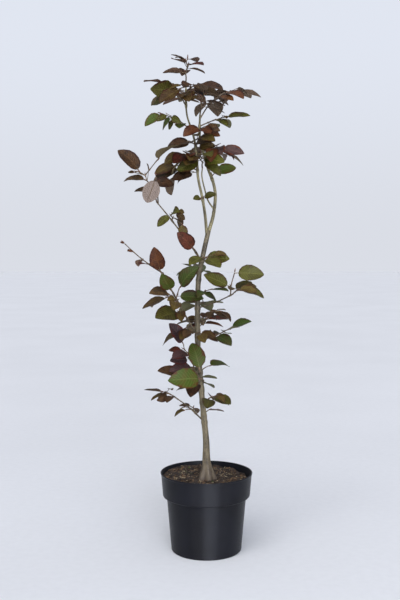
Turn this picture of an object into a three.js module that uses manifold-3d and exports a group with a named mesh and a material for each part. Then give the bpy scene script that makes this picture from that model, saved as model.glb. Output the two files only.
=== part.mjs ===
// A young copper beech in a nursery pot: a slender trunk that forks into two leaders, thin boughs,
// and sprays of broad leaves set alternately along their twigs.
// Millimetres, +Z up. The origin is the centre of the pot's flat underside, and -Y is the front.
import * as THREE from "three";
import { mergeVertices } from "three/addons/utils/BufferGeometryUtils.js";
import Module from "manifold-3d";

const wasm = await Module();
wasm.setup();

// ---------------------------------------------------------------- driving dimensions

const clearance = 0.3; // between neighbouring pieces
const sliver = 0.02; // edges and faces thinner than this are merged away

const pot = {
  height: 171,
  rimRadius: 100,
  bandHeight: 52, // the tall collar under the rim
  bandFootRadius: 95,
  neckRadius: 86.5, // the wall just under the collar
  footRadius: 76.5,
  wall: 1.6,
  lip: 1.2, // how far the rim stands out of the collar
  chamfer: 2,
  sides: 40,
  holeRadius: 6,
  holeRing: 58,
  holes: 6,
};

const compost = {
  level: 157, // at the trunk
  inset: 0.7, // from the pot's wall, which is a little nearer at the middle of its flats
  ringShares: [1, 0.76, 0.5, 0.28], // radii of the surface's rings, as shares of its own
  sides: 26,
  hump: 2, // how far it is heaped round the trunk
  humpRadius: 34,
  fall: 5, // how far it falls towards the right-hand wall
  rise: 8, // how far it rises towards the back
  lumps: 1.6,
  lowest: 143, // where its edge still fits the pot's wall
};

const trunkFoot = {
  depth: 12,
  flare: 7,
  flareHeight: 34,
  roots: 5, // how far the root tops stand out beyond the flare
  rootHeight: 20,
  lobes: 5,
  lobeShare: 0.16,
};

// Limbs that stand on their own path. Each has its way from foot to tip, and its radius at both.
const stems = {
  trunk: {
    way: [
      [1, 0, compost.level - trunkFoot.depth],
      [1, 0, 170],
      [-0.5, 0, 200],
      [-1, 0, 241],
      [-7, 2, 306],
      [-12, 4, 361],
      [-18.5, 3, 448],
      [-19, -1, 546],
      [-16, -4, 600],
      [-6, -3, 650],
      [4, 0, 694],
    ],
    radius: [6.9, 5],
    sides: 10,
    steps: 26,
  },
  right_leader: {
    way: [
      [5, 0, 694.4],
      [14.5, 4, 728],
      [19, 7, 768],
      [15, 8, 797],
      [3, 8, 829],
      [-8, 7, 868],
      [-15, 5, 900],
      [-14, 2, 942],
    ],
    radius: [4.2, 2.1],
    sides: 7,
    steps: 18,
  },
  left_leader: {
    way: [
      [1, 0, 682],
      [-3, -3, 727],
      [-9, -5, 765],
      [-18, -6, 807],
      [-20.5, -6, 845],
      [-26, -5, 888],
      [-35, -3, 918],
      [-43, -1, 950],
      [-44, 0, 1012],
    ],
    radius: [3.5, 1.7],
    sides: 7,
    steps: 20,
  },
  side_leader: {
    way: [
      [16, 6, 741],
      [3, -4, 760],
      [-4, -9, 783],
      [-10, -12, 810],
      [-9, -13, 828],
    ],
    radius: [2.2, 1.6],
    sides: 6,
    steps: 10,
  },
};

// Boughs grow out of a stem: where along it, how far the tip reaches right, back and up, and how far
// their middle bows off the straight line.
const boughs = {
  left_arm: { on: "trunk", at: 0.86, reach: [-95, -24, 124], bow: [0, 0, 6], radius: [2.4, 1.5] },
  lower_left_arm: {
    on: "trunk", at: 0.62, reach: [-73, -36, 137], bow: [0, 0, -8], radius: [2.3, 1.5],
  },
  right_arm: { on: "trunk", at: 0.68, reach: [75, -26, 31], bow: [0, 0, -6], radius: [2, 1.4] },
  bottom_left_arm: {
    on: "trunk", at: 0.36, reach: [-57, -27, 55], bow: [0, 0, 6], radius: [2.1, 1.4],
  },
};
const boughSides = 6;
const boughSteps = 8;

// Sprays: each grows from a limb as the boughs do, and carries its leaves alternately, the last one at
// its tip. leaf is the first blade's length, and end the last one's size beside it. lean turns the
// blades' faces from upwards to the front, and twist turns each leaf round the twig from the one
// before. A spray may have a spread, pitch or tipRise of its own in place of growth's.
const bronze = "foliage_bronze";
const olive = "foliage_olive";
const sprays = {
  crown_tip: {
    on: "left_leader", at: 1, reach: [3, 0, 47], leaves: 7, leaf: 42, pitch: 3, twist: 103, lean: 0,
    tipRise: 0, tint: bronze,
  },
  top_right_front: {
    on: "left_leader", at: 0.96, reach: [22, -30, 8], leaves: 5, leaf: 50, lean: 45, tint: bronze,
  },
  top_left_back: {
    on: "left_leader", at: 0.93, reach: [-58, 32, 44], leaves: 6, leaf: 44, lean: 15, tint: bronze,
  },
  top_left_front: {
    on: "left_leader", at: 0.9, reach: [-24, -19, 30], leaves: 3, leaf: 62, pitch: -12, lean: 60,
    tipRise: 0.3, tint: olive,
  },
  top_right_long: {
    on: "right_leader", at: 0.97, reach: [76, 22, 64], bow: [-6, 0, 30], leaves: 6, leaf: 46,
    lean: 10, tint: bronze,
  },
  top_right_low: {
    on: "right_leader", at: 1, reach: [8, -46, 40], leaves: 6, leaf: 42, lean: 14, tint: bronze,
  },
  top_back: {
    on: "left_leader", at: 0.91, reach: [-12, 85, 46], leaves: 7, leaf: 46, tint: bronze,
  },
  mid_right: {
    on: "right_leader", at: 0.92, reach: [54, 4, 20], leaves: 4, leaf: 44, pitch: -4, lean: 22,
    tipRise: 0.3, tint: olive,
  },
  mid_right_front: {
    on: "right_leader", at: 0.87, reach: [7, -53, 5], leaves: 3, leaf: 42, pitch: -22, lean: 50,
    tint: bronze,
  },
  mid_left_long: {
    on: "left_leader", at: 0.71, reach: [-62, -16, 32], bow: [0, 0, 8], leaves: 3, leaf: 44,
    pitch: -35, lean: 55, tipRise: 0.4, tint: olive,
  },
  head_left: {
    on: "left_leader", at: 0.58, reach: [-10, -28, 8], leaves: 4, leaf: 46, pitch: 0, lean: 50,
    tint: bronze,
  },
  head_left_low: {
    on: "left_leader", at: 0.5, reach: [-24, -20, 10], leaves: 5, leaf: 46, lean: 48, tint: bronze,
  },
  head_right: {
    on: "right_leader", at: 0.71, reach: [36, -14, 3], leaves: 5, leaf: 44, lean: 38, tint: bronze,
  },
  head_front: {
    on: "side_leader", at: 1, reach: [-4, -32, 26], leaves: 5, leaf: 46, pitch: -25, lean: 62,
    tint: olive,
  },
  head_back: {
    on: "right_leader", at: 0.65, reach: [12, 72, 31], leaves: 6, leaf: 46, tint: bronze,
  },
  right_leaf: {
    on: "right_leader", at: 0.47, reach: [5, 0, 15], leaves: 2, leaf: 48, pitch: 2, lean: 55,
    tipRise: 0.7, tint: olive,
  },
  left_cluster: {
    on: "left_leader", at: 0.43, reach: [-42, -16, 8], leaves: 4, leaf: 54, pitch: -18, lean: 50,
    tint: bronze,
  },
  leader_sprig: {
    on: "left_leader", at: 0.24, reach: [-2, -13, 3], leaves: 2, leaf: 26, pitch: 5, lean: 60,
    tint: olive,
  },
  left_arm_foot: {
    on: "left_arm", at: 0.12, reach: [-5, -13, 8], bow: [6, 2, -4], leaves: 1, leaf: 50, pitch: 6,
    lean: 80, tipRise: 1.1, tint: bronze,
  },
  left_arm_middle: {
    on: "left_arm", at: 0.66, reach: [-1, -16, 14], leaves: 3, leaf: 38, spread: 75, pitch: -35,
    lean: 72, tipRise: 2.4, tint: olive,
  },
  left_arm_tip: {
    on: "left_arm", at: 1, reach: [-32, -8, 62], bow: [6, 0, 8], leaves: 5, leaf: 22, end: 3,
    pitch: 6, lean: 42, tipRise: 1.15, tint: bronze,
  },
  left_arm_inner: {
    on: "left_arm", at: 0.97, reach: [-2, -20, 55], leaves: 1, leaf: 50, lean: -60, tipRise: -1.5,
    tint: bronze,
  },
  trunk_upper: {
    on: "trunk", at: 0.86, reach: [8, -24, 7], leaves: 3, leaf: 46, lean: 50, tint: olive,
  },
  outer_left: {
    on: "lower_left_arm", at: 1, reach: [-80, -8, 62], bow: [0, 0, -9], leaves: 4, leaf: 50,
    end: 0.2, lean: 40, tint: bronze,
  },
  outer_left_leaf: {
    on: "lower_left_arm", at: 0.94, reach: [-9, -16, 10], bow: [2, -4, -7], leaves: 1, leaf: 52,
    lean: 75, tipRise: 1.3, tint: bronze,
  },
  lower_left_green: {
    on: "lower_left_arm", at: 0.7, reach: [-5, -26, 7], bow: [6, -6, -6], leaves: 1, leaf: 52,
    lean: 78, tipRise: 1, tint: olive,
  },
  lower_left_inner: {
    on: "lower_left_arm", at: 0.6, reach: [6, -22, 26], bow: [-9, -7, 2], leaves: 2, leaf: 56,
    pitch: -4, lean: 60, tipRise: 1, tint: olive,
  },
  lower_left_brown: {
    on: "lower_left_arm", at: 0.54, reach: [-20, -13, 20], leaves: 3, leaf: 42, lean: 38,
    tint: bronze,
  },
  lower_left_olive: {
    on: "lower_left_arm", at: 0.3, reach: [-16, -12, 16], leaves: 1, leaf: 64, pitch: -12, lean: 55,
    tipRise: 0.2, tint: olive,
  },
  right_arm_tip: {
    on: "right_arm", at: 1, reach: [12, -6, 8], leaves: 3, leaf: 46, pitch: 12, lean: 35,
    tint: olive,
  },
  right_arm_upper: {
    on: "right_arm", at: 0.93, reach: [7, -6, 48], leaves: 2, leaf: 56, pitch: 2, lean: 58,
    tipRise: 0.2, tint: olive,
  },
  trunk_front: {
    on: "trunk", at: 0.71, reach: [24, -24, 16], leaves: 3, leaf: 38, lean: 25, tint: olive,
  },
  right_slender: {
    on: "trunk", at: 0.66, reach: [43, -41, 15], bow: [0, 0, 6], leaves: 5, leaf: 34, lean: 15,
    tint: bronze,
  },
  back_middle: { on: "trunk", at: 0.68, reach: [10, 70, 9], leaves: 4, leaf: 46, tint: olive },
  right_low: {
    on: "trunk", at: 0.61, reach: [70, 4, 27], bow: [0, 0, -8], leaves: 4, leaf: 48, pitch: 2,
    lean: 32, tint: olive,
  },
  left_dark: {
    on: "trunk", at: 0.62, reach: [-14, -30, 14], leaves: 3, leaf: 40, lean: 45, tint: bronze,
  },
  front_green: {
    on: "trunk", at: 0.535, reach: [-1, -28, 5], bow: [5, -15, -9], leaves: 1, leaf: 60, lean: 88,
    tipRise: 1, tint: olive,
  },
  right_blade: {
    on: "trunk", at: 0.535, reach: [18, 5, 12], leaves: 1, leaf: 60, pitch: 16, lean: 30,
    tipRise: 0.6, tint: olive,
  },
  front_large: {
    on: "trunk", at: 0.51, reach: [2, -26, 8], bow: [12, -9, 0], leaves: 1, leaf: 80, pitch: 4,
    lean: 65, tipRise: 0.3, tint: olive,
  },
  left_purple: {
    on: "trunk", at: 0.51, reach: [-38, -28, 83], leaves: 6, leaf: 46, spread: 12, lean: 50,
    tint: bronze,
  },
  left_low_dark: {
    on: "trunk", at: 0.49, reach: [-36, -12, 30], leaves: 3, leaf: 48, pitch: -16, lean: 50,
    tint: bronze,
  },
  bottom_left_tip: {
    on: "bottom_left_arm", at: 1, reach: [-29, -4, 16], leaves: 4, leaf: 36, lean: 10, tint: bronze,
  },
  bottom_left_foot: {
    on: "bottom_left_arm", at: 0.34, reach: [-9, 14, 12], leaves: 3, leaf: 28, tint: bronze,
  },
  right_bottom: {
    on: "trunk", at: 0.43, reach: [27, -20, 17], leaves: 4, leaf: 44, lean: 32, tint: olive,
  },
  right_bottom_low: {
    on: "trunk", at: 0.38, reach: [9, 10, 11], leaves: 2, leaf: 34, tint: bronze,
  },
  back_low: { on: "trunk", at: 0.48, reach: [-10, 60, 26], leaves: 5, leaf: 46, tint: olive },
  back_side: { on: "trunk", at: 0.63, reach: [19, 64, 24], leaves: 5, leaf: 48, tint: bronze },
  back_upper: { on: "trunk", at: 0.78, reach: [-8, 76, 33], leaves: 4, leaf: 48, tint: olive },
};

// How every spray grows. Angles are in degrees.
const twig = { radius: [1.6, 0.9], sides: 3, zigzag: 1.6, bow: [0, 0, 4] };
const growth = {
  first: 0.34, // share of the twig below its first leaf
  spread: 58, // of a leaf from the twig
  tipSpread: 16,
  spreadJitter: 12,
  pitch: -7,
  pitchJitter: 14,
  rise: 0.3, // share of the twig's own rise that a leaf keeps
  tipRise: 0.75, // and that the last leaf keeps
  turn: 18,
  forkChance: 0.2, // of a side twig with two leaves in place of a leaf
  sideTwig: 0.6, // its length beside the leaf's
};
const blade = {
  halfWidth: 0.33, // share of the length
  sizeJitter: 0.14,
  petiole: 0.15,
  petioleRadius: 0.75,
  thickness: 0.024,
  fold: 14, // that each half rises from the midrib
  bend: 28, // that the blade curves down from base to tip
  bendJitter: 26,
  stations: [0.26, 0.68],
  baseRound: 0.55,
  tipRound: 0.8,
  wave: 0.02,
};
const turns = [0, 25, -25, 50, -50, 75, -75]; // tried in this order until a leaf touches nothing

const up = new THREE.Vector3(0, 0, 1);
const front = new THREE.Vector3(0, -1, 0);
const radians = THREE.MathUtils.degToRad;
const vector = ([x, y, z]) => new THREE.Vector3(x, y, z);
const blend = ([from, to], share) => from + (to - from) * share;

// ---------------------------------------------------------------- solids

// A closed surface over a stack of rings of equal size, with a fan over the first and the last. The
// strips' diagonals meet in pairs, so that a blade's upper and lower faces are cut alike.
function skin(rings) {
  const sides = rings[0].length;
  const last = (rings.length - 1) * sides;
  const faces = [];
  for (let i = 0; i < sides; i++) {
    const j = (i + 1) % sides;
    faces.push(0, j, i, last, last + i, last + j);
    for (let a = 0; a < last; a += sides) {
      const b = a + sides;
      if (i % 2) faces.push(a + i, a + j, b + j, a + i, b + j, b + i);
      else faces.push(a + i, a + j, b + i, a + j, b + j, b + i);
    }
  }
  return new THREE.BufferGeometry().setFromPoints(rings.flat()).setIndex(faces);
}

// A geometry as a solid that can be joined and cut. Faces that shrank to a line are left out.
function solid(geometry) {
  for (const name of ["normal", "uv"]) geometry.deleteAttribute(name);
  const merged = mergeVertices(geometry, 1e-3);
  const corners = [];
  for (let i = 0; i < merged.index.count; i += 3) {
    const [a, b, c] = merged.index.array.slice(i, i + 3);
    if (a !== b && b !== c && c !== a) corners.push(a, b, c);
  }
  const mesh = new wasm.Mesh({
    numProp: 3,
    vertProperties: merged.attributes.position.array,
    triVerts: new Uint32Array(corners),
  });
  return new wasm.Manifold(mesh);
}

function geometryOf(manifold) {
  const { vertProperties, triVerts } = manifold.getMesh();
  return new THREE.BufferGeometry()
    .setAttribute("position", new THREE.BufferAttribute(vertProperties, 3))
    .setIndex(new THREE.BufferAttribute(triVerts, 1))
    .toNonIndexed();
}

const cutClear = (piece, spaces) => spaces.reduce((rest, space) => rest.subtract(space), piece);
const overlaps = (a, b) => !a.intersect(b).isEmpty();

// A solid without the slivers and loose scraps that joining and cutting leave.
const tidied = (piece) =>
  piece
    .setTolerance(sliver)
    .decompose()
    .sort((a, b) => b.volume() - a.volume())[0];

// The direction square to the tangent that lies nearest to side.
const squared = (side, tangent) =>
  side.clone().addScaledVector(tangent, -side.dot(tangent)).normalize();

function ringAt(centre, tangent, side, sides, radiusAt) {
  const across = squared(side, tangent);
  const along = new THREE.Vector3().crossVectors(tangent, across);
  return Array.from({ length: sides }, (_, i) => {
    const angle = (2 * Math.PI * i) / sides;
    const radius = radiusAt(angle);
    return centre
      .clone()
      .addScaledVector(across, radius * Math.cos(angle))
      .addScaledVector(along, radius * Math.sin(angle));
  });
}

// ---------------------------------------------------------------- limbs

// A curve from root by reach to its tip, its middle pushed off the straight line by bow.
function bowed(root, reach, bow) {
  const tip = root.clone().add(reach);
  return new THREE.QuadraticBezierCurve3(root, root.clone().lerp(tip, 0.5).add(bow), tip);
}

function limbPath(limb) {
  if (limb.way) return new THREE.CatmullRomCurve3(limb.way.map(vector), false, "catmullrom", 0.5);
  return bowed(limbs[limb.on].path.getPoint(limb.at), vector(limb.reach), vector(limb.bow));
}

// The radius at a share of a limb's length. The trunk also swells into root tops at its foot.
function limbRadius(limb, share, angle, height) {
  const plain = blend(limb.radius, share);
  if (limb !== stems.trunk) return plain;
  const above = Math.max(height - compost.level, 0);
  const swell = Math.exp(-above / trunkFoot.flareHeight);
  const roots = trunkFoot.roots * Math.exp(-((above / trunkFoot.rootHeight) ** 2));
  const lobes = 1 + trunkFoot.lobeShare * Math.cos(trunkFoot.lobes * angle) * swell;
  return (plain + trunkFoot.flare * swell + roots) * lobes;
}

// A limb's solid. grown makes it that much stouter and longer, for cutting its neighbours clear.
function limbSolid(limb, grown = 0) {
  const rings = [];
  for (let i = 0; i <= limb.steps; i++) {
    const share = i / limb.steps;
    const tangent = limb === stems.trunk && i === 0 ? up : limb.path.getTangent(share);
    const centre = limb.path.getPoint(share);
    if (i === 0) centre.addScaledVector(tangent, -grown);
    if (i === limb.steps) centre.addScaledVector(tangent, grown);
    const radiusAt = (angle) => limbRadius(limb, share, angle, centre.z) + grown;
    rings.push(ringAt(centre, tangent, new THREE.Vector3(1, 0, 0), limb.sides, radiusAt));
  }
  return solid(skin(rings));
}

const limbs = {};
for (const [name, limb] of Object.entries({ ...stems, ...boughs })) {
  limb.sides ??= boughSides;
  limb.steps ??= boughSteps;
  limb.path = limbPath(limb);
  limb.space = limbSolid(limb, clearance);
  limbs[name] = limb;
}
const limbSpaces = Object.values(limbs).map((limb) => limb.space);

// ---------------------------------------------------------------- leaves and twigs

// The same draws every time for one seed (Park and Miller's generator), each from -spread to spread.
function dice(seed) {
  let state = seed * 7919 + 17;
  const next = () => {
    state = (state * 48271) % 2147483647;
    return state / 2147483647;
  };
  for (let i = 0; i < 4; i++) next();
  return (spread) => (2 * next() - 1) * spread;
}

// Half the blade's width at a share of its length, as a share of its widest.
function outline(u) {
  const widest = blade.baseRound / (blade.baseRound + blade.tipRound);
  const shape = (x) => x ** blade.baseRound * (1 - x) ** blade.tipRound;
  return shape(u) / shape(widest);
}

// A point of a blade: u runs from base to tip, v from the left edge (-1) to the right edge (1), and
// rise is its height over the blade's middle surface.
function bladePoint(leaf, u, v, rise) {
  const bent = leaf.bend * u;
  const along = (Math.sin(bent) / leaf.bend) * leaf.length;
  const down = ((1 - Math.cos(bent)) / leaf.bend) * leaf.length;
  const normal = leaf.face.clone().multiplyScalar(Math.cos(bent));
  normal.addScaledVector(leaf.axis, Math.sin(bent));
  const half = blade.halfWidth * leaf.length * outline(u);
  const fold = radians(blade.fold);
  const wave = v * v * blade.wave * leaf.length * Math.sin(9 * u + 2 * v + leaf.phase);
  return leaf.base
    .clone()
    .addScaledVector(leaf.axis, along)
    .addScaledVector(leaf.face, -down)
    .addScaledVector(leaf.side, v * half * Math.cos(fold))
    .addScaledVector(normal, Math.abs(v) * half * Math.sin(fold) + wave + rise);
}

// A leaf as one solid: its stalk from inside the twig, and the blade, thickest at the midrib.
function leafSolid(leaf) {
  const stalk = (centre) => ringAt(centre, leaf.axis, leaf.side, 4, () => blade.petioleRadius);
  const rings = [stalk(leaf.root), stalk(leaf.base)];
  for (const u of blade.stations) {
    const half = 0.5 * blade.thickness * leaf.length * (1 - 0.6 * u);
    rings.push([
      bladePoint(leaf, u, 1, 0),
      bladePoint(leaf, u, 0, -half),
      bladePoint(leaf, u, -1, 0),
      bladePoint(leaf, u, 0, half),
    ]);
  }
  rings.push(Array.from({ length: 4 }, () => bladePoint(leaf, 1, 0, 0)));
  return solid(skin(rings));
}

// A leaf's place: axis along it, face out of its upper side, and side to its right.
function leafAt(root, axis, drawn, turn) {
  const light = up.clone().applyAxisAngle(new THREE.Vector3(1, 0, 0), radians(drawn.lean));
  const face = squared(light, axis).applyAxisAngle(axis, radians(turn));
  const side = new THREE.Vector3().crossVectors(axis, face);
  const base = root.clone().addScaledVector(axis, blade.petiole * drawn.length);
  return { root, base, axis, face, side, ...drawn };
}

// The direction square to a twig in which its leaves part, level unless the twig is steep.
function acrossTwig(path) {
  const whole = path.getPoint(1).sub(path.getPoint(0)).normalize();
  const level = Math.abs(whole.z) > 0.85 ? front : up;
  return new THREE.Vector3().crossVectors(whole, level).normalize();
}

// The places along a twig where its leaves stand, on alternate hands.
function nodesOf(path, count, twist) {
  const flat = acrossTwig(path);
  return Array.from({ length: count }, (_, i) => {
    const share = count > 1 ? blend([growth.first, 1], i / (count - 1)) : 1;
    const hand = i % 2 ? 1 : -1;
    const tangent = path.getTangent(share);
    const side = squared(flat, tangent).applyAxisAngle(tangent, radians(twist * i));
    const point = path.getPoint(share).addScaledVector(side, hand * twig.zigzag);
    return { share, hand, tangent, side, point, last: i === count - 1 };
  });
}

// Grows a spray: lists its twigs, and for each leaf on them the places it may take. At each node
// stands a leaf, or on the main twig now and then a side twig with two leaves of its own.
function grow(spray, path, roll, twigs = []) {
  const main = twigs.length === 0;
  const nodes = nodesOf(path, spray.leaves, spray.twist ?? 0);
  const leaves = [];
  twigs.push({ path, nodes, main, leaves });
  for (const { share, hand, tangent, side, point, last } of nodes) {
    const opening = last ? growth.tipSpread : (spray.spread ?? growth.spread);
    const spread = radians(opening + roll(growth.spreadJitter));
    const pitch = radians((spray.pitch ?? growth.pitch) + roll(growth.pitchJitter));
    const turn = roll(growth.turn);
    const size = spray.leaf * (1 + roll(blade.sizeJitter)) * blend([1, spray.end ?? 1], share);
    const bend = radians(blade.bend + roll(blade.bendJitter));
    const phase = roll(Math.PI);
    const forks = main && !last && spray.leaves > 2 && roll(0.5) + 0.5 < growth.forkChance;
    const axis = tangent.clone().multiplyScalar(Math.cos(spread));
    axis.addScaledVector(side, hand * Math.sin(spread));
    const rise = last ? (spray.tipRise ?? growth.tipRise) : growth.rise;
    axis.z = axis.z * rise + Math.sin(pitch);
    axis.normalize();
    if (forks) {
      const reach = axis.clone().multiplyScalar(growth.sideTwig * size);
      const sideSpray = { ...spray, leaves: 2, leaf: size, end: 1 };
      grow(sideSpray, bowed(point, reach, vector(twig.bow)), roll, twigs);
    } else {
      const drawn = { lean: spray.lean ?? 0, length: size, bend, phase };
      leaves.push(turns.map((more) => leafAt(point, axis, drawn, turn + more)));
    }
  }
  return twigs;
}

// One tapering twig that bends a little at each leaf. cap is the square end that it starts from.
function twigSolid({ path, nodes, main }, cap) {
  const share = nodes.length > 1 ? growth.first / 2 : 0.5;
  const foot = { share: 0, point: path.getPoint(0), tangent: cap ?? path.getTangent(0) };
  if (cap) foot.point.addScaledVector(cap, clearance);
  const bare = { share, point: path.getPoint(share), tangent: path.getTangent(share) };
  const rings = [foot, bare, ...nodes].map((stop) => {
    const radius = blend(twig.radius, main ? stop.share : 0.5 + 0.5 * stop.share);
    return ringAt(stop.point, stop.tangent, acrossTwig(path), twig.sides, () => radius);
  });
  return solid(skin(rings));
}

// A spray's twigs, with the solid of the main one, which gives way to the limbs.
function sprayTwigs(spray, seed) {
  const limb = limbs[spray.on];
  const path = bowed(limb.path.getPoint(spray.at), vector(spray.reach), vector(spray.bow ?? twig.bow));
  const twigs = grow(spray, path, dice(seed));
  const cap = spray.at === 1 ? limb.path.getTangent(1) : null;
  return { twigs, stem: cutClear(twigSolid(twigs[0], cap), limbSpaces) };
}

// A spray's solid. A side twig or leaf that would touch what is taken is turned or skipped.
function spraySolid({ twigs, stem }, taken) {
  const isFree = (piece, others) => !others.some((other) => overlaps(piece, other));
  const wood = [];
  const foliage = [];
  for (const one of twigs) {
    const piece = one.main ? stem : twigSolid(one);
    if (!one.main && !isFree(piece, [...taken, ...foliage])) continue;
    wood.push(piece);
    for (const places of one.leaves) {
      const leaf = places.map(leafSolid).find((choice) => isFree(choice, [...taken, ...foliage]));
      if (leaf) foliage.push(leaf);
    }
  }
  return tidied(wasm.Manifold.union([...wood, ...foliage]));
}

// ---------------------------------------------------------------- pot and compost

const collarFoot = pot.height - pot.bandHeight;

// The inside of the pot from its floor to the shoulder, as radii and heights.
const potInside = [
  [pot.footRadius - pot.chamfer - pot.wall, pot.wall],
  [pot.footRadius - pot.wall, pot.wall + pot.chamfer],
  [pot.neckRadius - pot.wall, collarFoot + pot.chamfer],
  [pot.bandFootRadius - pot.wall, collarFoot + 2 * pot.chamfer],
];
const potMouth = pot.rimRadius - pot.lip - pot.wall;

function turned(profile, sides) {
  const points = profile.map(([r, z]) => new THREE.Vector2(r, z));
  return new THREE.LatheGeometry(points, sides).rotateX(Math.PI / 2);
}

function potSolid() {
  const { wall, height, rimRadius, footRadius, chamfer, lip } = pot;
  const profile = [
    [0, 0],
    [footRadius - chamfer, 0],
    [footRadius, chamfer],
    [pot.neckRadius, collarFoot - chamfer],
    [pot.bandFootRadius - chamfer, collarFoot],
    [pot.bandFootRadius, collarFoot + chamfer],
    [rimRadius - lip, height - 3 * lip],
    [rimRadius, height - 2 * lip],
    [rimRadius, height],
    [potMouth, height],
    ...potInside.toReversed(),
    [0, wall],
  ];
  const holes = Array.from({ length: pot.holes }, (_, i) => {
    const drill = new THREE.CylinderGeometry(pot.holeRadius, pot.holeRadius, 6 * wall, 10);
    drill.rotateX(Math.PI / 2);
    drill.translate(pot.holeRing, 0, 0);
    return solid(drill.rotateZ((2 * Math.PI * (i + 0.5)) / pot.holes));
  });
  return cutClear(solid(turned(profile, pot.sides)), holes);
}

// Height of the compost at a place: heaped at the trunk, sloping to the front and right, and lumpy.
function compostHeight(x, y) {
  const heap = compost.hump * (Math.exp(-(x * x + y * y) / compost.humpRadius ** 2) - 1);
  const slope = (compost.rise * y - compost.fall * x) / pot.rimRadius;
  const lumps = Math.sin(x / 9 + 1) * Math.cos(y / 11) + Math.sin(y / 6 - x / 15);
  return compost.level + heap + slope + compost.lumps * lumps;
}

function compostSolid() {
  const circle = (radius, heightAt) =>
    Array.from({ length: compost.sides }, (_, i) => {
      const angle = (2 * Math.PI * i) / compost.sides;
      const [x, y] = [radius * Math.cos(angle), radius * Math.sin(angle)];
      return new THREE.Vector3(x, y, heightAt(x, y));
    });
  const rings = potInside.map(([r, z]) => circle(r - compost.inset, () => z + clearance));
  const [shoulder, shoulderHeight] = potInside.at(-1);
  const depth = (compost.lowest - shoulderHeight) / (pot.height - shoulderHeight);
  const edge = blend([shoulder, potMouth], depth) - compost.inset;
  for (const share of compost.ringShares) rings.push(circle(edge * share, compostHeight));
  return cutClear(solid(skin(rings)), [limbs.trunk.space]);
}

// ---------------------------------------------------------------- the plant

const finish = (color, roughness) => new THREE.MeshStandardMaterial({ color, roughness });
const materials = {
  pot: finish("#23252b", 0.55),
  compost: finish("#4a3526", 0.95),
  bark: finish("#6d6650", 0.8),
  young_bark: finish("#70603c", 0.7),
  foliage_bronze: finish("#4b2f26", 0.6),
  foliage_olive: finish("#4e5426", 0.6),
};

const plant = new THREE.Group();

function add(name, manifold, material) {
  const mesh = new THREE.Mesh(geometryOf(manifold), materials[material]);
  mesh.name = name;
  plant.add(mesh);
}

add("pot", potSolid(), "pot");
add("compost", compostSolid(), "compost");

// Each limb gives way to those before it.
Object.entries(limbs).forEach(([name, limb], i) => {
  const piece = tidied(cutClear(limbSolid(limb), limbSpaces.slice(0, i)));
  add(name, piece, name === "trunk" ? "bark" : "young_bark");
});

// Each spray keeps clear of the limbs, the other sprays' main twigs and the sprays before it.
const names = Object.keys(sprays);
const grown = names.map((name, i) => sprayTwigs(sprays[name], i + 1));
const placed = [];
names.forEach((name, i) => {
  const stemsAhead = grown.slice(i + 1).map((one) => one.stem);
  const piece = spraySolid(grown[i], [...limbSpaces, ...placed, ...stemsAhead]);
  add(name, piece, sprays[name].tint);
  placed.push(piece);
});

export default plant;
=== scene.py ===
# A young copper beech in a nursery pot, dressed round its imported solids. +Z is up and -Y the front.
# The plant grows in millimetres by the rule that its solids follow, and its meshes are in metres.
import math
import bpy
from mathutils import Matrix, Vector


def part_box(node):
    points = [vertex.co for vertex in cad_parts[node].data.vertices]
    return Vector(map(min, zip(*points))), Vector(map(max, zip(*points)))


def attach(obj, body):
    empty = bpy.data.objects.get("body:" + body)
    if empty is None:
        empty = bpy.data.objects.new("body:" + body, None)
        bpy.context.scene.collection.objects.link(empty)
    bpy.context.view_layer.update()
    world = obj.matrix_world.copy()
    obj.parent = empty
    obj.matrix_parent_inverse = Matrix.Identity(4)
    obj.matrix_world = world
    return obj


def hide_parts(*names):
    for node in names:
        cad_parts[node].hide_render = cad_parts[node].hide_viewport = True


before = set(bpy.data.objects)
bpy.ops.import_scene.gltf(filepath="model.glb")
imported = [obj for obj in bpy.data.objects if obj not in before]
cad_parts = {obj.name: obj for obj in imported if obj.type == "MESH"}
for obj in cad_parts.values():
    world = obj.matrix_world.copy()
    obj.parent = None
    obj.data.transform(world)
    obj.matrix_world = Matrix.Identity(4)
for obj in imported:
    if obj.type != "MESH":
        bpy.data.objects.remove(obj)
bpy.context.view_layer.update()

from types import SimpleNamespace

import bpy
from mathutils import Quaternion, Vector, noise
from mathutils.bvhtree import BVHTree

mm = 0.001
up = Vector((0, 0, 1))
front = Vector((0, -1, 0))
right = Vector((1, 0, 0))
scene = bpy.context.scene


def blend(ends, share):
    return ends[0] + (ends[1] - ends[0]) * share


# Node trees


def kindOf(value):
    if value == "geometry":
        return "NodeSocketGeometry"
    if value == "material":
        return "NodeSocketMaterial"
    if isinstance(value, int):
        return "NodeSocketInt"
    if isinstance(value, float):
        return "NodeSocketFloat"
    return "NodeSocketColor" if len(value) == 4 else "NodeSocketVector"


def outOf(node):
    return next(out for out in node.outputs if out.enabled)


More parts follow.
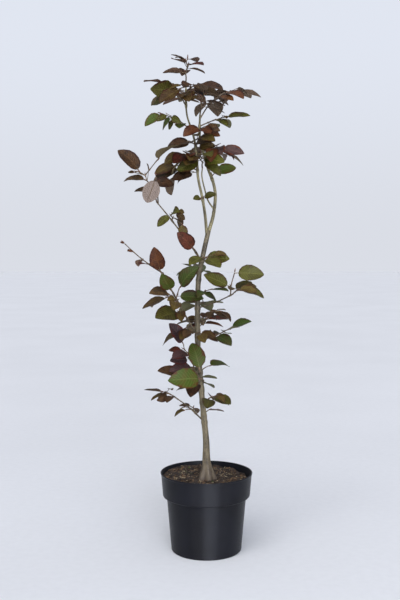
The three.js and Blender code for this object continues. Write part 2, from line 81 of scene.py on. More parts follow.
class Tree:
    # A node tree that is filled by put, which adds a node and feeds its inputs in their order.
    def __init__(self, tree):
        self.tree = tree

    def feed(self, socket, value):
        if isinstance(value, bpy.types.Node):
            value = outOf(value)
        if isinstance(value, bpy.types.NodeSocket):
            self.tree.links.new(value, socket)
        elif value is not None:
            socket.default_value = value

    def put(self, kind, *values, named=None, **settings):
        node = self.tree.nodes.new(kind)
        for key, value in settings.items():
            setattr(node, key, value)
        for socket, value in zip([one for one in node.inputs if one.enabled], values):
            self.feed(socket, value)
        for name, value in (named or {}).items():
            self.feed(node.inputs[name], value)
        return node

    def calc(self, operation, *values):
        return self.put("ShaderNodeMath", *values, operation=operation)

    def product(self, first, *others):
        for other in others:
            first = self.calc("MULTIPLY", first, other)
        return first

    def vec(self, operation, *values):
        return self.put("ShaderNodeVectorMath", *values, operation=operation)

    def ramp(self, value, low, high, start=0.0, end=1.0):
        node = self.put("ShaderNodeMapRange", value, low, high, start, end)
        node.interpolation_type = "SMOOTHSTEP"
        return node

    def noise(self, place, scale, detail=2.0):
        return self.put("ShaderNodeTexNoise", place, scale, detail)

    def mix(self, share, first, second):
        return self.put("ShaderNodeMix", share, first, second, data_type="RGBA")

    def axes(self, vector):
        return self.put("ShaderNodeSeparateXYZ", vector).outputs

    def vector(self, x, y, z):
        return self.put("ShaderNodeCombineXYZ", x, y, z)

    def read(self, name, kind="FLOAT"):
        return outOf(self.put("GeometryNodeInputNamedAttribute", name, data_type=kind))

    def store(self, geometry, name, value, kind="FLOAT", domain="POINT"):
        settings = {"data_type": kind, "domain": domain}
        return self.put("GeometryNodeStoreNamedAttribute", geometry, None, name, value, **settings)

    def random(self, low, high, seed, kind="FLOAT"):
        return self.put("FunctionNodeRandomValue", low, high, None, seed, data_type=kind)

    def move(self, geometry, offset):
        return self.put("GeometryNodeSetPosition", geometry, None, None, offset)

    def sweep(self, line, radius, sides, capped):
        line = self.put("GeometryNodeSetCurveRadius", line, None, radius)
        ring = self.put("GeometryNodeCurvePrimitiveCircle", named={"Resolution": sides, "Radius": 1.0})
        return self.put("GeometryNodeCurveToMesh", line, ring, self.put("GeometryNodeInputRadius"), capped)


def newGroup(name, kind, inputs, outputs):
    group = Tree(bpy.data.node_groups.new(name, kind))
    for label, value in inputs.items():
        socket = group.tree.interface.new_socket(label, in_out="INPUT", socket_type=kindOf(value))
        if not isinstance(value, str):
            socket.default_value = value
    for label, value in outputs.items():
        group.tree.interface.new_socket(label, in_out="OUTPUT", socket_type=kindOf(value))
    group.given = group.tree.nodes.new("NodeGroupInput").outputs
    group.result = group.tree.nodes.new("NodeGroupOutput").inputs
    return group


def newGeometryGroup(name, inputs):
    sockets = {"geometry": "geometry", **inputs, "material": "material"}
    return newGroup(name, "GeometryNodeTree", sockets, {"geometry": "geometry"})


def finishGroup(group, geometry):
    real = group.put("GeometryNodeRealizeInstances", geometry)
    finished = group.put("GeometryNodeSetMaterial", real, None, group.given["material"])
    group.feed(group.result["geometry"], finished)
    return group.tree


# Pieces


def newPiece(name, mesh):
    piece = bpy.data.objects.new(name, mesh)
    scene.collection.objects.link(piece)
    return piece


def newMesh(name, points, edges=(), faces=(), **attributes):
    # Points are in millimetres. An attribute is a number or a vector at each point.
    mesh = bpy.data.meshes.new(name)
    mesh.from_pydata([point * mm for point in points], edges, faces)
    for label, values in attributes.items():
        isVector = isinstance(values[0], Vector)
        layer = mesh.attributes.new(label, "FLOAT_VECTOR" if isVector else "FLOAT", "POINT")
        flat = [part for value in values for part in value] if isVector else values
        layer.data.foreach_set("vector" if isVector else "value", flat)
    return mesh


def growByNodes(piece, tree, **values):
    # The piece gets the mesh that the tree makes of it. Values are set by their inputs' names.
    modifier = piece.modifiers.new(tree.name, "NODES")
    modifier.node_group = tree
    for item in tree.interface.items_tree:
        if item.item_type == "SOCKET" and item.in_out == "INPUT" and item.name in values:
            modifier[item.identifier] = values[item.name]
    graph = bpy.context.evaluated_depsgraph_get()
    mesh = bpy.data.meshes.new_from_object(piece.evaluated_get(graph))
    piece.modifiers.remove(modifier)
    piece.data = mesh
    mesh.name = piece.name
    return piece


def settle(piece, nodes, material=None):
    if material:
        piece.data.materials.clear()
        piece.data.materials.append(material)
    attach(piece, "root")
    if nodes:
        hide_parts(*nodes)
    return piece


def closedSkin(rings):
    # Points and faces of a closed surface over rings of equal size, with a fan over each end.
    sides = len(rings[0])
    points = [point for ring in rings for point in ring]
    last = len(points) - sides
    faces = []
    for a in range(0, last, sides):
        for i in range(sides):
            j = (i + 1) % sides
            faces.append((a + i, a + j, a + sides + j, a + sides + i))
    for start, turned in ((0, True), (last, False)):
        middle = sum((points[start + i] for i in range(sides)), Vector()) / sides
        points.append(middle)
        for i in range(sides):
            j = (i + 1) % sides
            ends = (start + j, start + i) if turned else (start + i, start + j)
            faces.append((*ends, len(points) - 1))
    return points, faces


def smooth(mesh):
    mesh.polygons.foreach_set("use_smooth", [True] * len(mesh.polygons))
    return mesh


# Paths


class Bow:
    # A curve from root by reach to its tip, its middle pushed off the straight line by bow.
    def __init__(self, root, reach, bow):
        self.root = root
        self.tip = root + Vector(reach)
        self.middle = root.lerp(self.tip, 0.5) + Vector(bow)

    def point(self, t):
        return self.root.lerp(self.middle, t).lerp(self.middle.lerp(self.tip, t), t)

    def tangent(self, t):
        return (self.middle - self.root).lerp(self.tip - self.middle, t).normalized()


class Way:
    # A smooth curve through points.
    def __init__(self, points):
        points = [Vector(point) for point in points]
        first = 2 * points[0] - points[1]
        last = 2 * points[-1] - points[-2]
        self.points = [first, *points, last]

    def cubic(self, t):
        spans = len(self.points) - 3
        i = min(int(t * spans), spans - 1)
        a, b, c, d = self.points[i:i + 4]
        outward, inward = (c - a) / 2, (d - b) / 2
        square = 3 * (c - b) - 2 * outward - inward
        cube = 2 * (b - c) + outward + inward
        return b, outward, square, cube, t * spans - i

    def point(self, t):
        b, outward, square, cube, x = self.cubic(t)
        return b + outward * x + square * x**2 + cube * x**3

    def tangent(self, t):
        _, outward, square, cube, x = self.cubic(t)
        return (outward + 2 * square * x + 3 * cube * x**2).normalized()


def squared(side, tangent):
    return (side - tangent * side.dot(tangent)).normalized()


def anglesOf(sides):
    return [2 * math.pi * i / sides for i in range(sides)]


def ringAt(centre, tangent, side, sides, radiusAt):
    across = squared(side, tangent)
    along = tangent.cross(across)
    return [centre + (across * math.cos(angle) + along * math.sin(angle)) * radiusAt(angle)
            for angle in anglesOf(sides)]


# Limbs

potTop = 171
compostLevel = 157
trunkFoot = {"flare": 7, "flareHeight": 34, "roots": 5, "rootHeight": 20, "lobes": 5, "lobeShare": 0.16}

# The way of each stem and its radii at foot and tip, or a bough's place on another limb and its reach.
limbs = {
    "trunk": dict(
        way=[(1, 0, 145), (1, 0, 170), (-0.5, 0, 200), (-1, 0, 241), (-7, 2, 306), (-12, 4, 361),
             (-18.5, 3, 448), (-19, -1, 546), (-16, -4, 600), (-6, -3, 650), (4, 0, 694)],
        radius=(6.9, 5)),
    "right_leader": dict(
        way=[(5, 0, 694.4), (14.5, 4, 728), (19, 7, 768), (15, 8, 797), (3, 8, 829), (-8, 7, 868),
             (-15, 5, 900), (-14, 2, 942)],
        radius=(4.2, 2.1)),
    "left_leader": dict(
        way=[(1, 0, 682), (-3, -3, 727), (-9, -5, 765), (-18, -6, 807), (-20.5, -6, 845), (-26, -5, 888),
             (-35, -3, 918), (-43, -1, 950), (-44, 0, 1012)],
        radius=(3.5, 1.7)),
    "side_leader": dict(
        way=[(16, 6, 741), (3, -4, 760), (-4, -9, 783), (-10, -12, 810), (-9, -13, 828)],
        radius=(2.2, 1.6)),
    "left_arm": dict(on="trunk", at=0.86, reach=(-95, -24, 124), bow=(0, 0, 6), radius=(2.4, 1.5)),
    "lower_left_arm": dict(on="trunk", at=0.62, reach=(-73, -36, 137), bow=(0, 0, -8), radius=(2.3, 1.5)),
    "right_arm": dict(on="trunk", at=0.68, reach=(75, -26, 31), bow=(0, 0, -6), radius=(2, 1.4)),
    "bottom_left_arm": dict(on="trunk", at=0.36, reach=(-57, -27, 55), bow=(0, 0, 6), radius=(2.1, 1.4)),
}
# Rings and sides of the limbs' coarse shapes, which leaves keep clear of, and their clearance.
coarse = {"trunk": (26, 10), "right_leader": (18, 7), "left_leader": (20, 7), "side_leader": (10, 6)}
coarseBough = (8, 6)
clearance = 0.3
bark = {
    "thin": {"trunk": 1.0, "right_leader": 0.95, "left_leader": 0.95},
    "thinBough": 0.82,  # a bough's own girth beside its solid's
    "step": 1.8,  # between rings
    "girth": 0.55,  # between the points of a ring
    "knotRise": 0.9,  # of the swelling where a shoot parts
    "knotReach": 4.5,
    "tip": ((0.5, 0.85), (0.85, 0.5)),  # rings that round a limb's end, in shares of its radius
    "ridge": 0.42,
    "grain": 0.16,
    "stretch": 5,  # of the ridges along the limb
    "scarRise": 0.3,
    "scarEvery": 86.0,  # between the rings that each year's bud leaves
    "leastSides": 12,
    "knotMost": 1.2,
    "knotsTo": 0.97,  # share of a limb past which a shoot makes no knot
    "measure": 60,  # steps in which a limb's length is measured
    "sunk": (-5, 0.8),  # how far a leader's foot runs on into the trunk, and its share of the radius
    "leastRelief": 0.2,
}


def limbRadius(name, share, angle, height):
    plain = blend(limbs[name]["radius"], share)
    if name != "trunk":
        return plain
    above = max(height - compostLevel, 0)
    swell = math.exp(-above / trunkFoot["flareHeight"])
    roots = trunkFoot["roots"] * math.exp(-((above / trunkFoot["rootHeight"]) ** 2))
    lobes = 1 + trunkFoot["lobeShare"] * math.cos(trunkFoot["lobes"] * angle) * swell
    return (plain + trunkFoot["flare"] * swell + roots) * lobes


def bowOn(one):
    return Bow(limbs[one["on"]]["path"].point(one["at"]), one["reach"], one["bow"])


def coarseLimb(name, limb):
    steps, sides = coarse.get(name, coarseBough)
    rings = []
    for i in range(steps + 1):
        share = i / steps
        tangent = up if name == "trunk" and i == 0 else limb["path"].tangent(share)
        ends = {0: -clearance, steps: clearance}
        centre = limb["path"].point(share) + tangent * ends.get(i, 0)
        radiusAt = lambda angle: limbRadius(name, share, angle, centre.z) + clearance
        rings.append(ringAt(centre, tangent, right, sides, radiusAt))
    return closedSkin(rings)


for name, limb in limbs.items():
    limb["path"] = Way(limb["way"]) if "way" in limb else bowOn(limb)
    limb["space"] = coarseLimb(name, limb)

# Sprays


def grownOn(limb, at, reach, leaves, leaf, tint, **own):
    return {"on": limb, "at": at, "reach": reach, "leaves": leaves, "leaf": leaf, "tint": tint, **own}


# Each grows from a limb as the boughs do and carries its leaves alternately, the last at its tip.
# leaf is the first blade's length, and end the last one's size beside it. lean turns the blades'
# faces from upwards to the front, and twist turns each leaf round the twig from the one before.
# A spray may have a spread, pitch or tipRise of its own in place of growth's.
sprays = {
    "crown_tip": grownOn(
        "left_leader", 1, (3, 0, 47), 7, 42, "russet", pitch=3, twist=103, lean=0, tipRise=0),
    "top_right_front": grownOn("left_leader", 0.96, (22, -30, 8), 5, 50, "umber", lean=45),
    "top_left_back": grownOn("left_leader", 0.93, (-58, 32, 44), 6, 44, "russet", lean=15),
    "top_left_front": grownOn(
        "left_leader", 0.9, (-24, -19, 30), 3, 62, "olive", pitch=-12, lean=60, tipRise=0.3),
    "top_right_long": grownOn(
        "right_leader", 0.97, (76, 22, 64), 6, 46, "chestnut", bow=(-6, 0, 30), lean=10),
    "top_right_low": grownOn("right_leader", 1, (8, -46, 40), 6, 42, "umber", lean=14),
    "top_back": grownOn("left_leader", 0.91, (-12, 85, 46), 7, 46, "russet"),
    "mid_right": grownOn("right_leader", 0.92, (54, 4, 20), 4, 44, "olive", pitch=-4, lean=22, tipRise=0.3),
    "mid_right_front": grownOn("right_leader", 0.87, (7, -53, 5), 3, 42, "chestnut", pitch=-22, lean=50),
    "mid_left_long": grownOn(
        "left_leader", 0.71, (-62, -16, 32), 3, 44, "leafGreen", bow=(0, 0, 8), pitch=-35, lean=55,
        tipRise=0.4),
    "head_left": grownOn("left_leader", 0.58, (-10, -28, 8), 4, 46, "umber", pitch=0, lean=50),
    "head_left_low": grownOn("left_leader", 0.5, (-24, -20, 10), 5, 46, "russet", lean=48),
    "head_right": grownOn("right_leader", 0.71, (36, -14, 3), 5, 44, "plum", lean=38),
    "head_front": grownOn("side_leader", 1, (-4, -32, 26), 5, 46, "olive", pitch=-25, lean=62),
    "head_back": grownOn("right_leader", 0.65, (12, 72, 31), 6, 46, "umber"),
    "right_leaf": grownOn(
        "right_leader", 0.47, (5, 0, 15), 2, 48, "leafGreen", pitch=2, lean=55, tipRise=0.7),
    "left_cluster": grownOn("left_leader", 0.43, (-42, -16, 8), 4, 54, "oliveBrown", pitch=-18, lean=50),
    "leader_sprig": grownOn("left_leader", 0.24, (-2, -13, 3), 2, 26, "olive", pitch=5, lean=60),
    "left_arm_foot": grownOn(
        "left_arm", 0.12, (-5, -13, 8), 1, 50, "russet", bow=(6, 2, -4), pitch=6, lean=80, tipRise=1.1),
    "left_arm_middle": grownOn(
        "left_arm", 0.66, (-1, -16, 14), 3, 38, "olive", spread=75, pitch=-35, lean=72, tipRise=2.4),
    "left_arm_tip": grownOn(
        "left_arm", 1, (-32, -8, 62), 5, 22, "umber", bow=(6, 0, 8), end=3, pitch=6, lean=42, tipRise=1.15),
    "left_arm_inner": grownOn("left_arm", 0.97, (-2, -20, 55), 1, 50, "plum", lean=-60, tipRise=-1.5),
    "trunk_upper": grownOn("trunk", 0.86, (8, -24, 7), 3, 46, "olive", lean=50),
    "outer_left": grownOn(
        "lower_left_arm", 1, (-80, -8, 62), 4, 50, "russet", bow=(0, 0, -9), end=0.2, lean=40),
    "outer_left_leaf": grownOn(
        "lower_left_arm", 0.94, (-9, -16, 10), 1, 52, "chestnut", bow=(2, -4, -7), lean=75, tipRise=1.3),
    "lower_left_green": grownOn(
        "lower_left_arm", 0.7, (-5, -26, 7), 1, 52, "leafGreen", bow=(6, -6, -6), lean=78, tipRise=1),
    "lower_left_inner": grownOn(
        "lower_left_arm", 0.6, (6, -22, 26), 2, 56, "darkGreen", bow=(-9, -7, 2), pitch=-4, lean=60,
        tipRise=1),
    "lower_left_brown": grownOn("lower_left_arm", 0.54, (-20, -13, 20), 3, 42, "umber", lean=38),
    "lower_left_olive": grownOn(
        "lower_left_arm", 0.3, (-16, -12, 16), 1, 64, "olive", pitch=-12, lean=55, tipRise=0.2),
    "right_arm_tip": grownOn("right_arm", 1, (12, -6, 8), 3, 46, "olive", pitch=12, lean=35),
    "right_arm_upper": grownOn(
        "right_arm", 0.93, (7, -6, 48), 2, 56, "olive", pitch=2, lean=58, tipRise=0.2),
    "trunk_front": grownOn("trunk", 0.71, (24, -24, 16), 3, 38, "darkGreen", lean=25),
    "right_slender": grownOn("trunk", 0.66, (43, -41, 15), 5, 34, "umber", bow=(0, 0, 6), lean=15),
    "back_middle": grownOn("trunk", 0.68, (10, 70, 9), 4, 46, "olive"),
    "right_low": grownOn("trunk", 0.61, (70, 4, 27), 4, 48, "darkGreen", bow=(0, 0, -8), pitch=2, lean=32),
    "left_dark": grownOn("trunk", 0.62, (-14, -30, 14), 3, 40, "umber", lean=45),
    "front_green": grownOn(
        "trunk", 0.535, (-1, -28, 5), 1, 60, "leafGreen", bow=(5, -15, -9), lean=88, tipRise=1),
    "right_blade": grownOn("trunk", 0.535, (18, 5, 12), 1, 60, "leafGreen", pitch=16, lean=30, tipRise=0.6),
    "front_large": grownOn(
        "trunk", 0.51, (2, -26, 8), 1, 80, "leafGreen", bow=(12, -9, 0), pitch=4, lean=65, tipRise=0.3),
    "left_purple": grownOn("trunk", 0.51, (-38, -28, 83), 6, 46, "plum", spread=12, lean=50),
    "left_low_dark": grownOn("trunk", 0.49, (-36, -12, 30), 3, 48, "umber", pitch=-16, lean=50),
    "bottom_left_tip": grownOn("bottom_left_arm", 1, (-29, -4, 16), 4, 36, "umber", lean=10),
    "bottom_left_foot": grownOn("bottom_left_arm", 0.34, (-9, 14, 12), 3, 28, "umber"),
    "right_bottom": grownOn("trunk", 0.43, (27, -20, 17), 4, 44, "olive", lean=32),
    "right_bottom_low": grownOn("trunk", 0.38, (9, 10, 11), 2, 34, "plum"),
    "back_low": grownOn("trunk", 0.48, (-10, 60, 26), 5, 46, "olive"),
    "back_side": grownOn("trunk", 0.63, (19, 64, 24), 5, 48, "russet"),
    "back_upper": grownOn("trunk", 0.78, (-8, 76, 33), 4, 48, "darkGreen"),
}

# How every spray grows. Angles are in degrees.
twig = {"radius": (1.6, 0.9), "zigzag": 1.6, "bow": (0, 0, 4)}
growth = {
    "first": 0.34,  # share of the twig below its first leaf
    "spread": 58,  # of a leaf from the twig
    "tipSpread": 16,
    "spreadJitter": 12,
    "pitch": -7,
    "pitchJitter": 14,
    "rise": 0.3,  # share of the twig's own rise that a leaf keeps
    "tipRise": 0.75,
    "turn": 18,
    "forkChance": 0.2,  # of a side twig with two leaves in place of a leaf
    "sideTwig": 0.6,  # its length beside the leaf's
    "steep": 0.85,  # rise of a twig from which its leaves part forwards and back
}
blade = {
    "halfWidth": 0.33,  # share of the length
    "sizeJitter": 0.14,
    "petiole": 0.15,
    "petioleRadius": 0.75,
    "thickness": 0.024,
    "fold": 14,  # that each half rises from the midrib
    "bend": 28,  # that the blade curves down from base to tip
    "bendJitter": 26,
    "stations": (0.26, 0.68),
    "baseRound": 0.55,
    "tipRound": 0.8,
    "wave": 0.02,
    "ripples": (9.0, 2.0),  # along the blade and across it
}
turns = (0, 25, -25, 50, -50, 75, -75)  # tried in this order until a leaf touches nothing

# The tint that a spray's side twigs and short shoots have.
secondTints = {
    "russet": "oliveBrown", "chestnut": "umber", "umber": "oliveBrown", "plum": "russet",
    "oliveBrown": "umber", "olive": "oliveBrown", "leafGreen": "olive", "darkGreen": "olive",
}

# The finer shoots in the leaves' axils and beside a spray's foot, from a second set of draws.
spur = {
    "chance": 0.6,
    "length": (12, 22),
    "radius": (0.8, 0.55),
    "spread": 38,
    "rise": 0.25,
    "leafShare": 0.6,  # of a spray's own leaf
    "leaves": (1, 2),
    "bow": (0, 0, 1),
    "foot": 0.3,  # share of a shoot that may touch its twig
    "margin": 3,  # that it may pass the solid's box by
    "besides": (0.4, 0.9, 1.4, 1.9),  # tried on a leader below each spray's foot, in besideSteps
    "besideStep": 13,
    "besideReach": (18, 30),
    "besideLeaf": 0.8,
    "search": 200,  # steps along the leader
}


def dice(seed):
    state = seed * 7919 + 17

    def roll(spread):
        nonlocal state
        state = state * 48271 % 2147483647
        return (2 * state / 2147483647 - 1) * spread

    for _ in range(4):
        roll(1)
    return roll


def drawShare(roll):
    return roll(0.5) + 0.5


def parting(node, spread, hand):
    # The direction at an angle to a node's twig, on its side or the other.
    return node.tangent * math.cos(spread) + node.side * (hand * math.sin(spread))


def outline(u):
    widest = blade["baseRound"] / (blade["baseRound"] + blade["tipRound"])
    shape = lambda x: x ** blade["baseRound"] * (1 - x) ** blade["tipRound"]
    return shape(u) / shape(widest)


def bladePoint(leaf, u, v, rise=0):
    # u runs from base to tip, v from the left edge (-1) to the right edge (1).
    bent = leaf.bend * u
    normal = leaf.face * math.cos(bent) + leaf.axis * math.sin(bent)
    half = blade["halfWidth"] * leaf.length * outline(u)
    fold = math.radians(blade["fold"])
    ripples, crossRipples = blade["ripples"]
    wave = v * v * blade["wave"] * leaf.length * math.sin(ripples * u + crossRipples * v + leaf.phase)
    place = leaf.base + leaf.axis * (math.sin(bent) / leaf.bend * leaf.length)
    place -= leaf.face * ((1 - math.cos(bent)) / leaf.bend * leaf.length)
    place += leaf.side * (v * half * math.cos(fold))
    return place + normal * (abs(v) * half * math.sin(fold) + wave + rise)


def coarseLeaf(leaf):
    rings = [ringAt(end, leaf.axis, leaf.side, 4, lambda _: blade["petioleRadius"])
             for end in (leaf.root, leaf.base)]
    for u in blade["stations"]:
        half = 0.5 * blade["thickness"] * leaf.length * (1 - 0.6 * u)
        corners = ((1, 0), (0, -half), (-1, 0), (0, half))
        rings.append([bladePoint(leaf, u, v, rise) for v, rise in corners])
    rings.append([bladePoint(leaf, 0.999, 0)] * 4)
    return closedSkin(rings)


def leafAt(root, axis, drawn, turn):
    light = Quaternion(right, math.radians(drawn["lean"])) @ up
    face = Quaternion(axis, math.radians(turn)) @ squared(light, axis)
    base = root + axis * blade["petiole"] * drawn["length"]
    return SimpleNamespace(root=root, base=base, axis=axis, face=face, side=axis.cross(face), **drawn)


def acrossTwig(path):
    whole = (path.point(1) - path.point(0)).normalized()
    level = front if abs(whole.z) > growth["steep"] else up
    return whole.cross(level).normalized()


def nodesOf(path, count, twist):
    flat = acrossTwig(path)
    nodes = []
    for i in range(count):
        share = blend((growth["first"], 1), i / (count - 1)) if count > 1 else 1
        hand = 1 if i % 2 else -1
        tangent = path.tangent(share)
        side = Quaternion(tangent, math.radians(twist * i)) @ squared(flat, tangent)
        point = path.point(share) + side * hand * twig["zigzag"]
        nodes.append(SimpleNamespace(share=share, hand=hand, tangent=tangent, side=side, point=point,
                                     last=i == count - 1))
    return nodes


def grow(spray, path, roll, twigs):
    # Lists a spray's twigs, and for each leaf on them the places that it may take.
    main = not twigs
    radius = twig["radius"] if main else (sum(twig["radius"]) / 2, twig["radius"][1])
    nodes = nodesOf(path, spray["leaves"], spray.get("twist", 0))
    tint = spray["tint"] if main else secondTints[spray["tint"]]
    one = SimpleNamespace(path=path, nodes=nodes, main=main, radius=radius, tint=tint, leaves=[])
    twigs.append(one)
    for node in nodes:
        opening = growth["tipSpread"] if node.last else spray.get("spread", growth["spread"])
        spread = math.radians(opening + roll(growth["spreadJitter"]))
        pitch = math.radians(spray.get("pitch", growth["pitch"]) + roll(growth["pitchJitter"]))
        turn = roll(growth["turn"])
        size = spray["leaf"] * (1 + roll(blade["sizeJitter"])) * blend((1, spray.get("end", 1)), node.share)
        bend = math.radians(blade["bend"] + roll(blade["bendJitter"]))
        phase = roll(math.pi)
        forks = main and not node.last and spray["leaves"] > 2 and drawShare(roll) < growth["forkChance"]
        axis = parting(node, spread, node.hand)
        rise = spray.get("tipRise", growth["tipRise"]) if node.last else growth["rise"]
        axis.z = axis.z * rise + math.sin(pitch)
        axis.normalize()
        if forks:
            sideSpray = {**spray, "leaves": 2, "leaf": size, "end": 1}
            reach = axis * growth["sideTwig"] * size
            grow(sideSpray, Bow(node.point, reach, twig["bow"]), roll, twigs)
        else:
            drawn = {"lean": spray.get("lean", 0), "length": size, "bend": bend, "phase": phase}
            one.leaves.append([leafAt(node.point, axis, drawn, turn + more) for more in turns])
    return twigs


def twigStops(one):
    # Where a twig bends, with its radius there.
    bare = growth["first"] / 2 if len(one.nodes) > 1 else 0.5
    stops = [(at, one.path.point(at), one.path.tangent(at)) for at in (0, bare)]
    stops += [(node.share, node.point, node.tangent) for node in one.nodes]
    return [(point, tangent, blend(one.radius, at)) for at, point, tangent in stops]


def coarseTwig(one):
    across = acrossTwig(one.path)
    return closedSkin([ringAt(point, tangent, across, 3, lambda _: radius)
                       for point, tangent, radius in twigStops(one)])


def spaceOf(shapes):
    points = []
    faces = []
    for shapePoints, shapeFaces in shapes:
        faces += [tuple(corner + len(points) for corner in face) for face in shapeFaces]
        points += shapePoints
    return BVHTree.FromPolygons(points, faces)


def isFree(shape, spaces):
    tree = spaceOf([shape])
    return not any(tree.overlap(space) for space in spaces)


def fill(twigs, stem, taken):
    # A spray's twigs and leaves. What would touch something taken is turned or skipped.
    found = SimpleNamespace(twigs=[], leaves=[], shapes=[])
    foliage = []
    for one in twigs:
        shape = stem if one.main else coarseTwig(one)
        if not one.main and not isFree(shape, [*taken, *foliage]):
            continue
        found.twigs.append(one)
        found.shapes.append(shape)
        for places in one.leaves:
            for leaf in places:
                leafShape = coarseLeaf(leaf)
                if isFree(leafShape, [*taken, *foliage]):
                    leaf.tint = one.tint
                    found.leaves.append(leaf)
                    found.shapes.append(leafShape)
                    foliage.append(spaceOf([leafShape]))
                    break
    return found


names = list(sprays)
limbSpaces = [limb["space"] for limb in limbs.values()]
grown = {}
for index, name in enumerate(names):
    path = bowOn({"bow": twig["bow"], **sprays[name]})
    grown[name] = grow(sprays[name], path, dice(index + 1), [])
stems = {name: coarseTwig(twigs[0]) for name, twigs in grown.items()}
placed = []
kept = {}
for index, name in enumerate(names):
    ahead = [stems[later] for later in names[index + 1:]]
    kept[name] = fill(grown[name], stems[name], [spaceOf([*limbSpaces, *placed, *ahead])])
    placed += kept[name].shapes
print("sprays", len(kept), "leaves", sum(len(one.leaves) for one in kept.values()))


def shoot(spray, root, reach, leafShare, roll):
    # A short shoot of the spray's kind, with its shape but for the foot, which stands in the wood.
    small = {**spray, "leaves": spur["leaves"][roll(1) > 0], "leaf": spray["leaf"] * leafShare, "end": 1}
    small["tint"] = secondTints[spray["tint"]]
    twigs = grow(small, Bow(root, reach, spur["bow"]), roll, [])
    twigs[0].radius = spur["radius"]
    path = twigs[0].path
    rings = [ringAt(path.point(t), path.tangent(t), acrossTwig(path), 3, lambda _: spur["radius"][0])
             for t in (spur["foot"], 1)]
    return twigs, closedSkin(rings)


def raised(axis):
    axis.z = axis.z * growth["rise"] + spur["rise"]
    return axis.normalized()


def axilShoots(name, roll):
    for one in list(kept[name].twigs):
        for node in one.nodes:
            if drawShare(roll) > spur["chance"]:
                continue
            spread = math.radians(spur["spread"] + roll(growth["spreadJitter"]))
            axis = parting(node, spread, node.hand if node.last else -node.hand)
            reach = raised(axis) * blend(spur["length"], drawShare(roll))
            yield shoot(sprays[name], node.point, reach, spur["leafShare"], roll)


def footShoots(name, roll):
    spray = sprays[name]
    path = limbs[spray["on"]]["path"]
    foot = path.point(spray["at"])
    tangent = path.tangent(spray["at"])
    marks = [i / spur["search"] for i in range(spur["search"] + 1)]
    for below in spur["besides"] if spray["on"].endswith("leader") else ():
        root = foot - tangent * spur["besideStep"] * below
        near = min(marks, key=lambda t: (path.point(t) - root).length)
        away = Quaternion(tangent, math.pi * roll(1)) @ squared(right, tangent)
        reach = raised(away) * blend(spur["besideReach"], drawShare(roll))
        yield shoot(spray, path.point(near), reach, spur["besideLeaf"], roll)


shootRoll = dice(len(names) + 1)
taken = [spaceOf([*limbSpaces, *placed])]
for name in names:
    # They grow where there is room, in the spray's own reach.
    low, high = (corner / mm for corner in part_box(name))
    margin = spur["margin"]
    for shoots in (axilShoots(name, shootRoll), footShoots(name, shootRoll)):
        for twigs, shape in shoots:
            if not isFree(shape, taken):
                continue
            found = fill(twigs, shape, taken)
            inside = all(low[k] - margin < point[k] < high[k] + margin
                         for points, _ in found.shapes for point in points for k in range(3))
            if found.leaves and inside:
                kept[name].twigs += found.twigs
                kept[name].leaves += found.leaves
                taken.append(spaceOf(found.shapes))
print("with short shoots", sum(len(one.leaves) for one in kept.values()))

# Surface patterns

coordinates = "ShaderNodeTexCoord"
anyColour = (0.1, 0.1, 0.1, 1.0)


def patternGroup(name, inputs):
    return newGroup(name, "ShaderNodeTree", inputs, {"Color": anyColour, "Roughness": 0.5, "Height": 0.0})


def finishPattern(group, colour, rough, height):
    for label, value in (("Color", colour), ("Roughness", rough), ("Height", height)):
        group.feed(group.result[label], value)
    return group.tree


def mottleGroup():
    # Two colours mixed by a broad and a fine noise, with the relief and roughness that go with them.
    # A third covers the lowest part, up to footReach.
    group = patternGroup("mottle", {
        "place": (0.0, 0.0, 0.0), "dark": anyColour, "light": anyColour, "broad": 60.0, "fine": 600.0,
        "fineShare": 0.4, "balance": 0.5, "softness": 0.2, "leastRough": 0.5, "mostRough": 0.8,
        "foot": anyColour, "footShare": 0.0, "footReach": 1.0})
    given, calc = group.given, group.calc
    broad = group.noise(given["place"], given["broad"], 3.0)
    fine = group.noise(given["place"], given["fine"])
    both = group.put("ShaderNodeMix", given["fineShare"], broad, fine)
    low = calc("SUBTRACT", given["balance"], given["softness"])
    high = calc("ADD", given["balance"], given["softness"])
    colour = group.mix(group.ramp(both, low, high), given["dark"], given["light"])
    low = group.ramp(group.axes(given["place"])["Z"], 0.0, given["footReach"], given["footShare"], 0.0)
    low = group.product(low, group.ramp(fine, 0.35, 0.65, 1.0, 0.6))
    rough = group.ramp(fine, 0.3, 0.7, given["leastRough"], given["mostRough"])
    return finishPattern(group, group.mix(low, colour, given["foot"]), rough, both)


# What the leaves' pattern takes besides its colours.
leafSurface = {"veinPairs": 8.0, "veinSlant": 2.4, "blotchScale": 55.0, "variation": 0.25, "gloss": 0.42}
tintParts = ("upper", "blotch", "margin", "vein", "under")


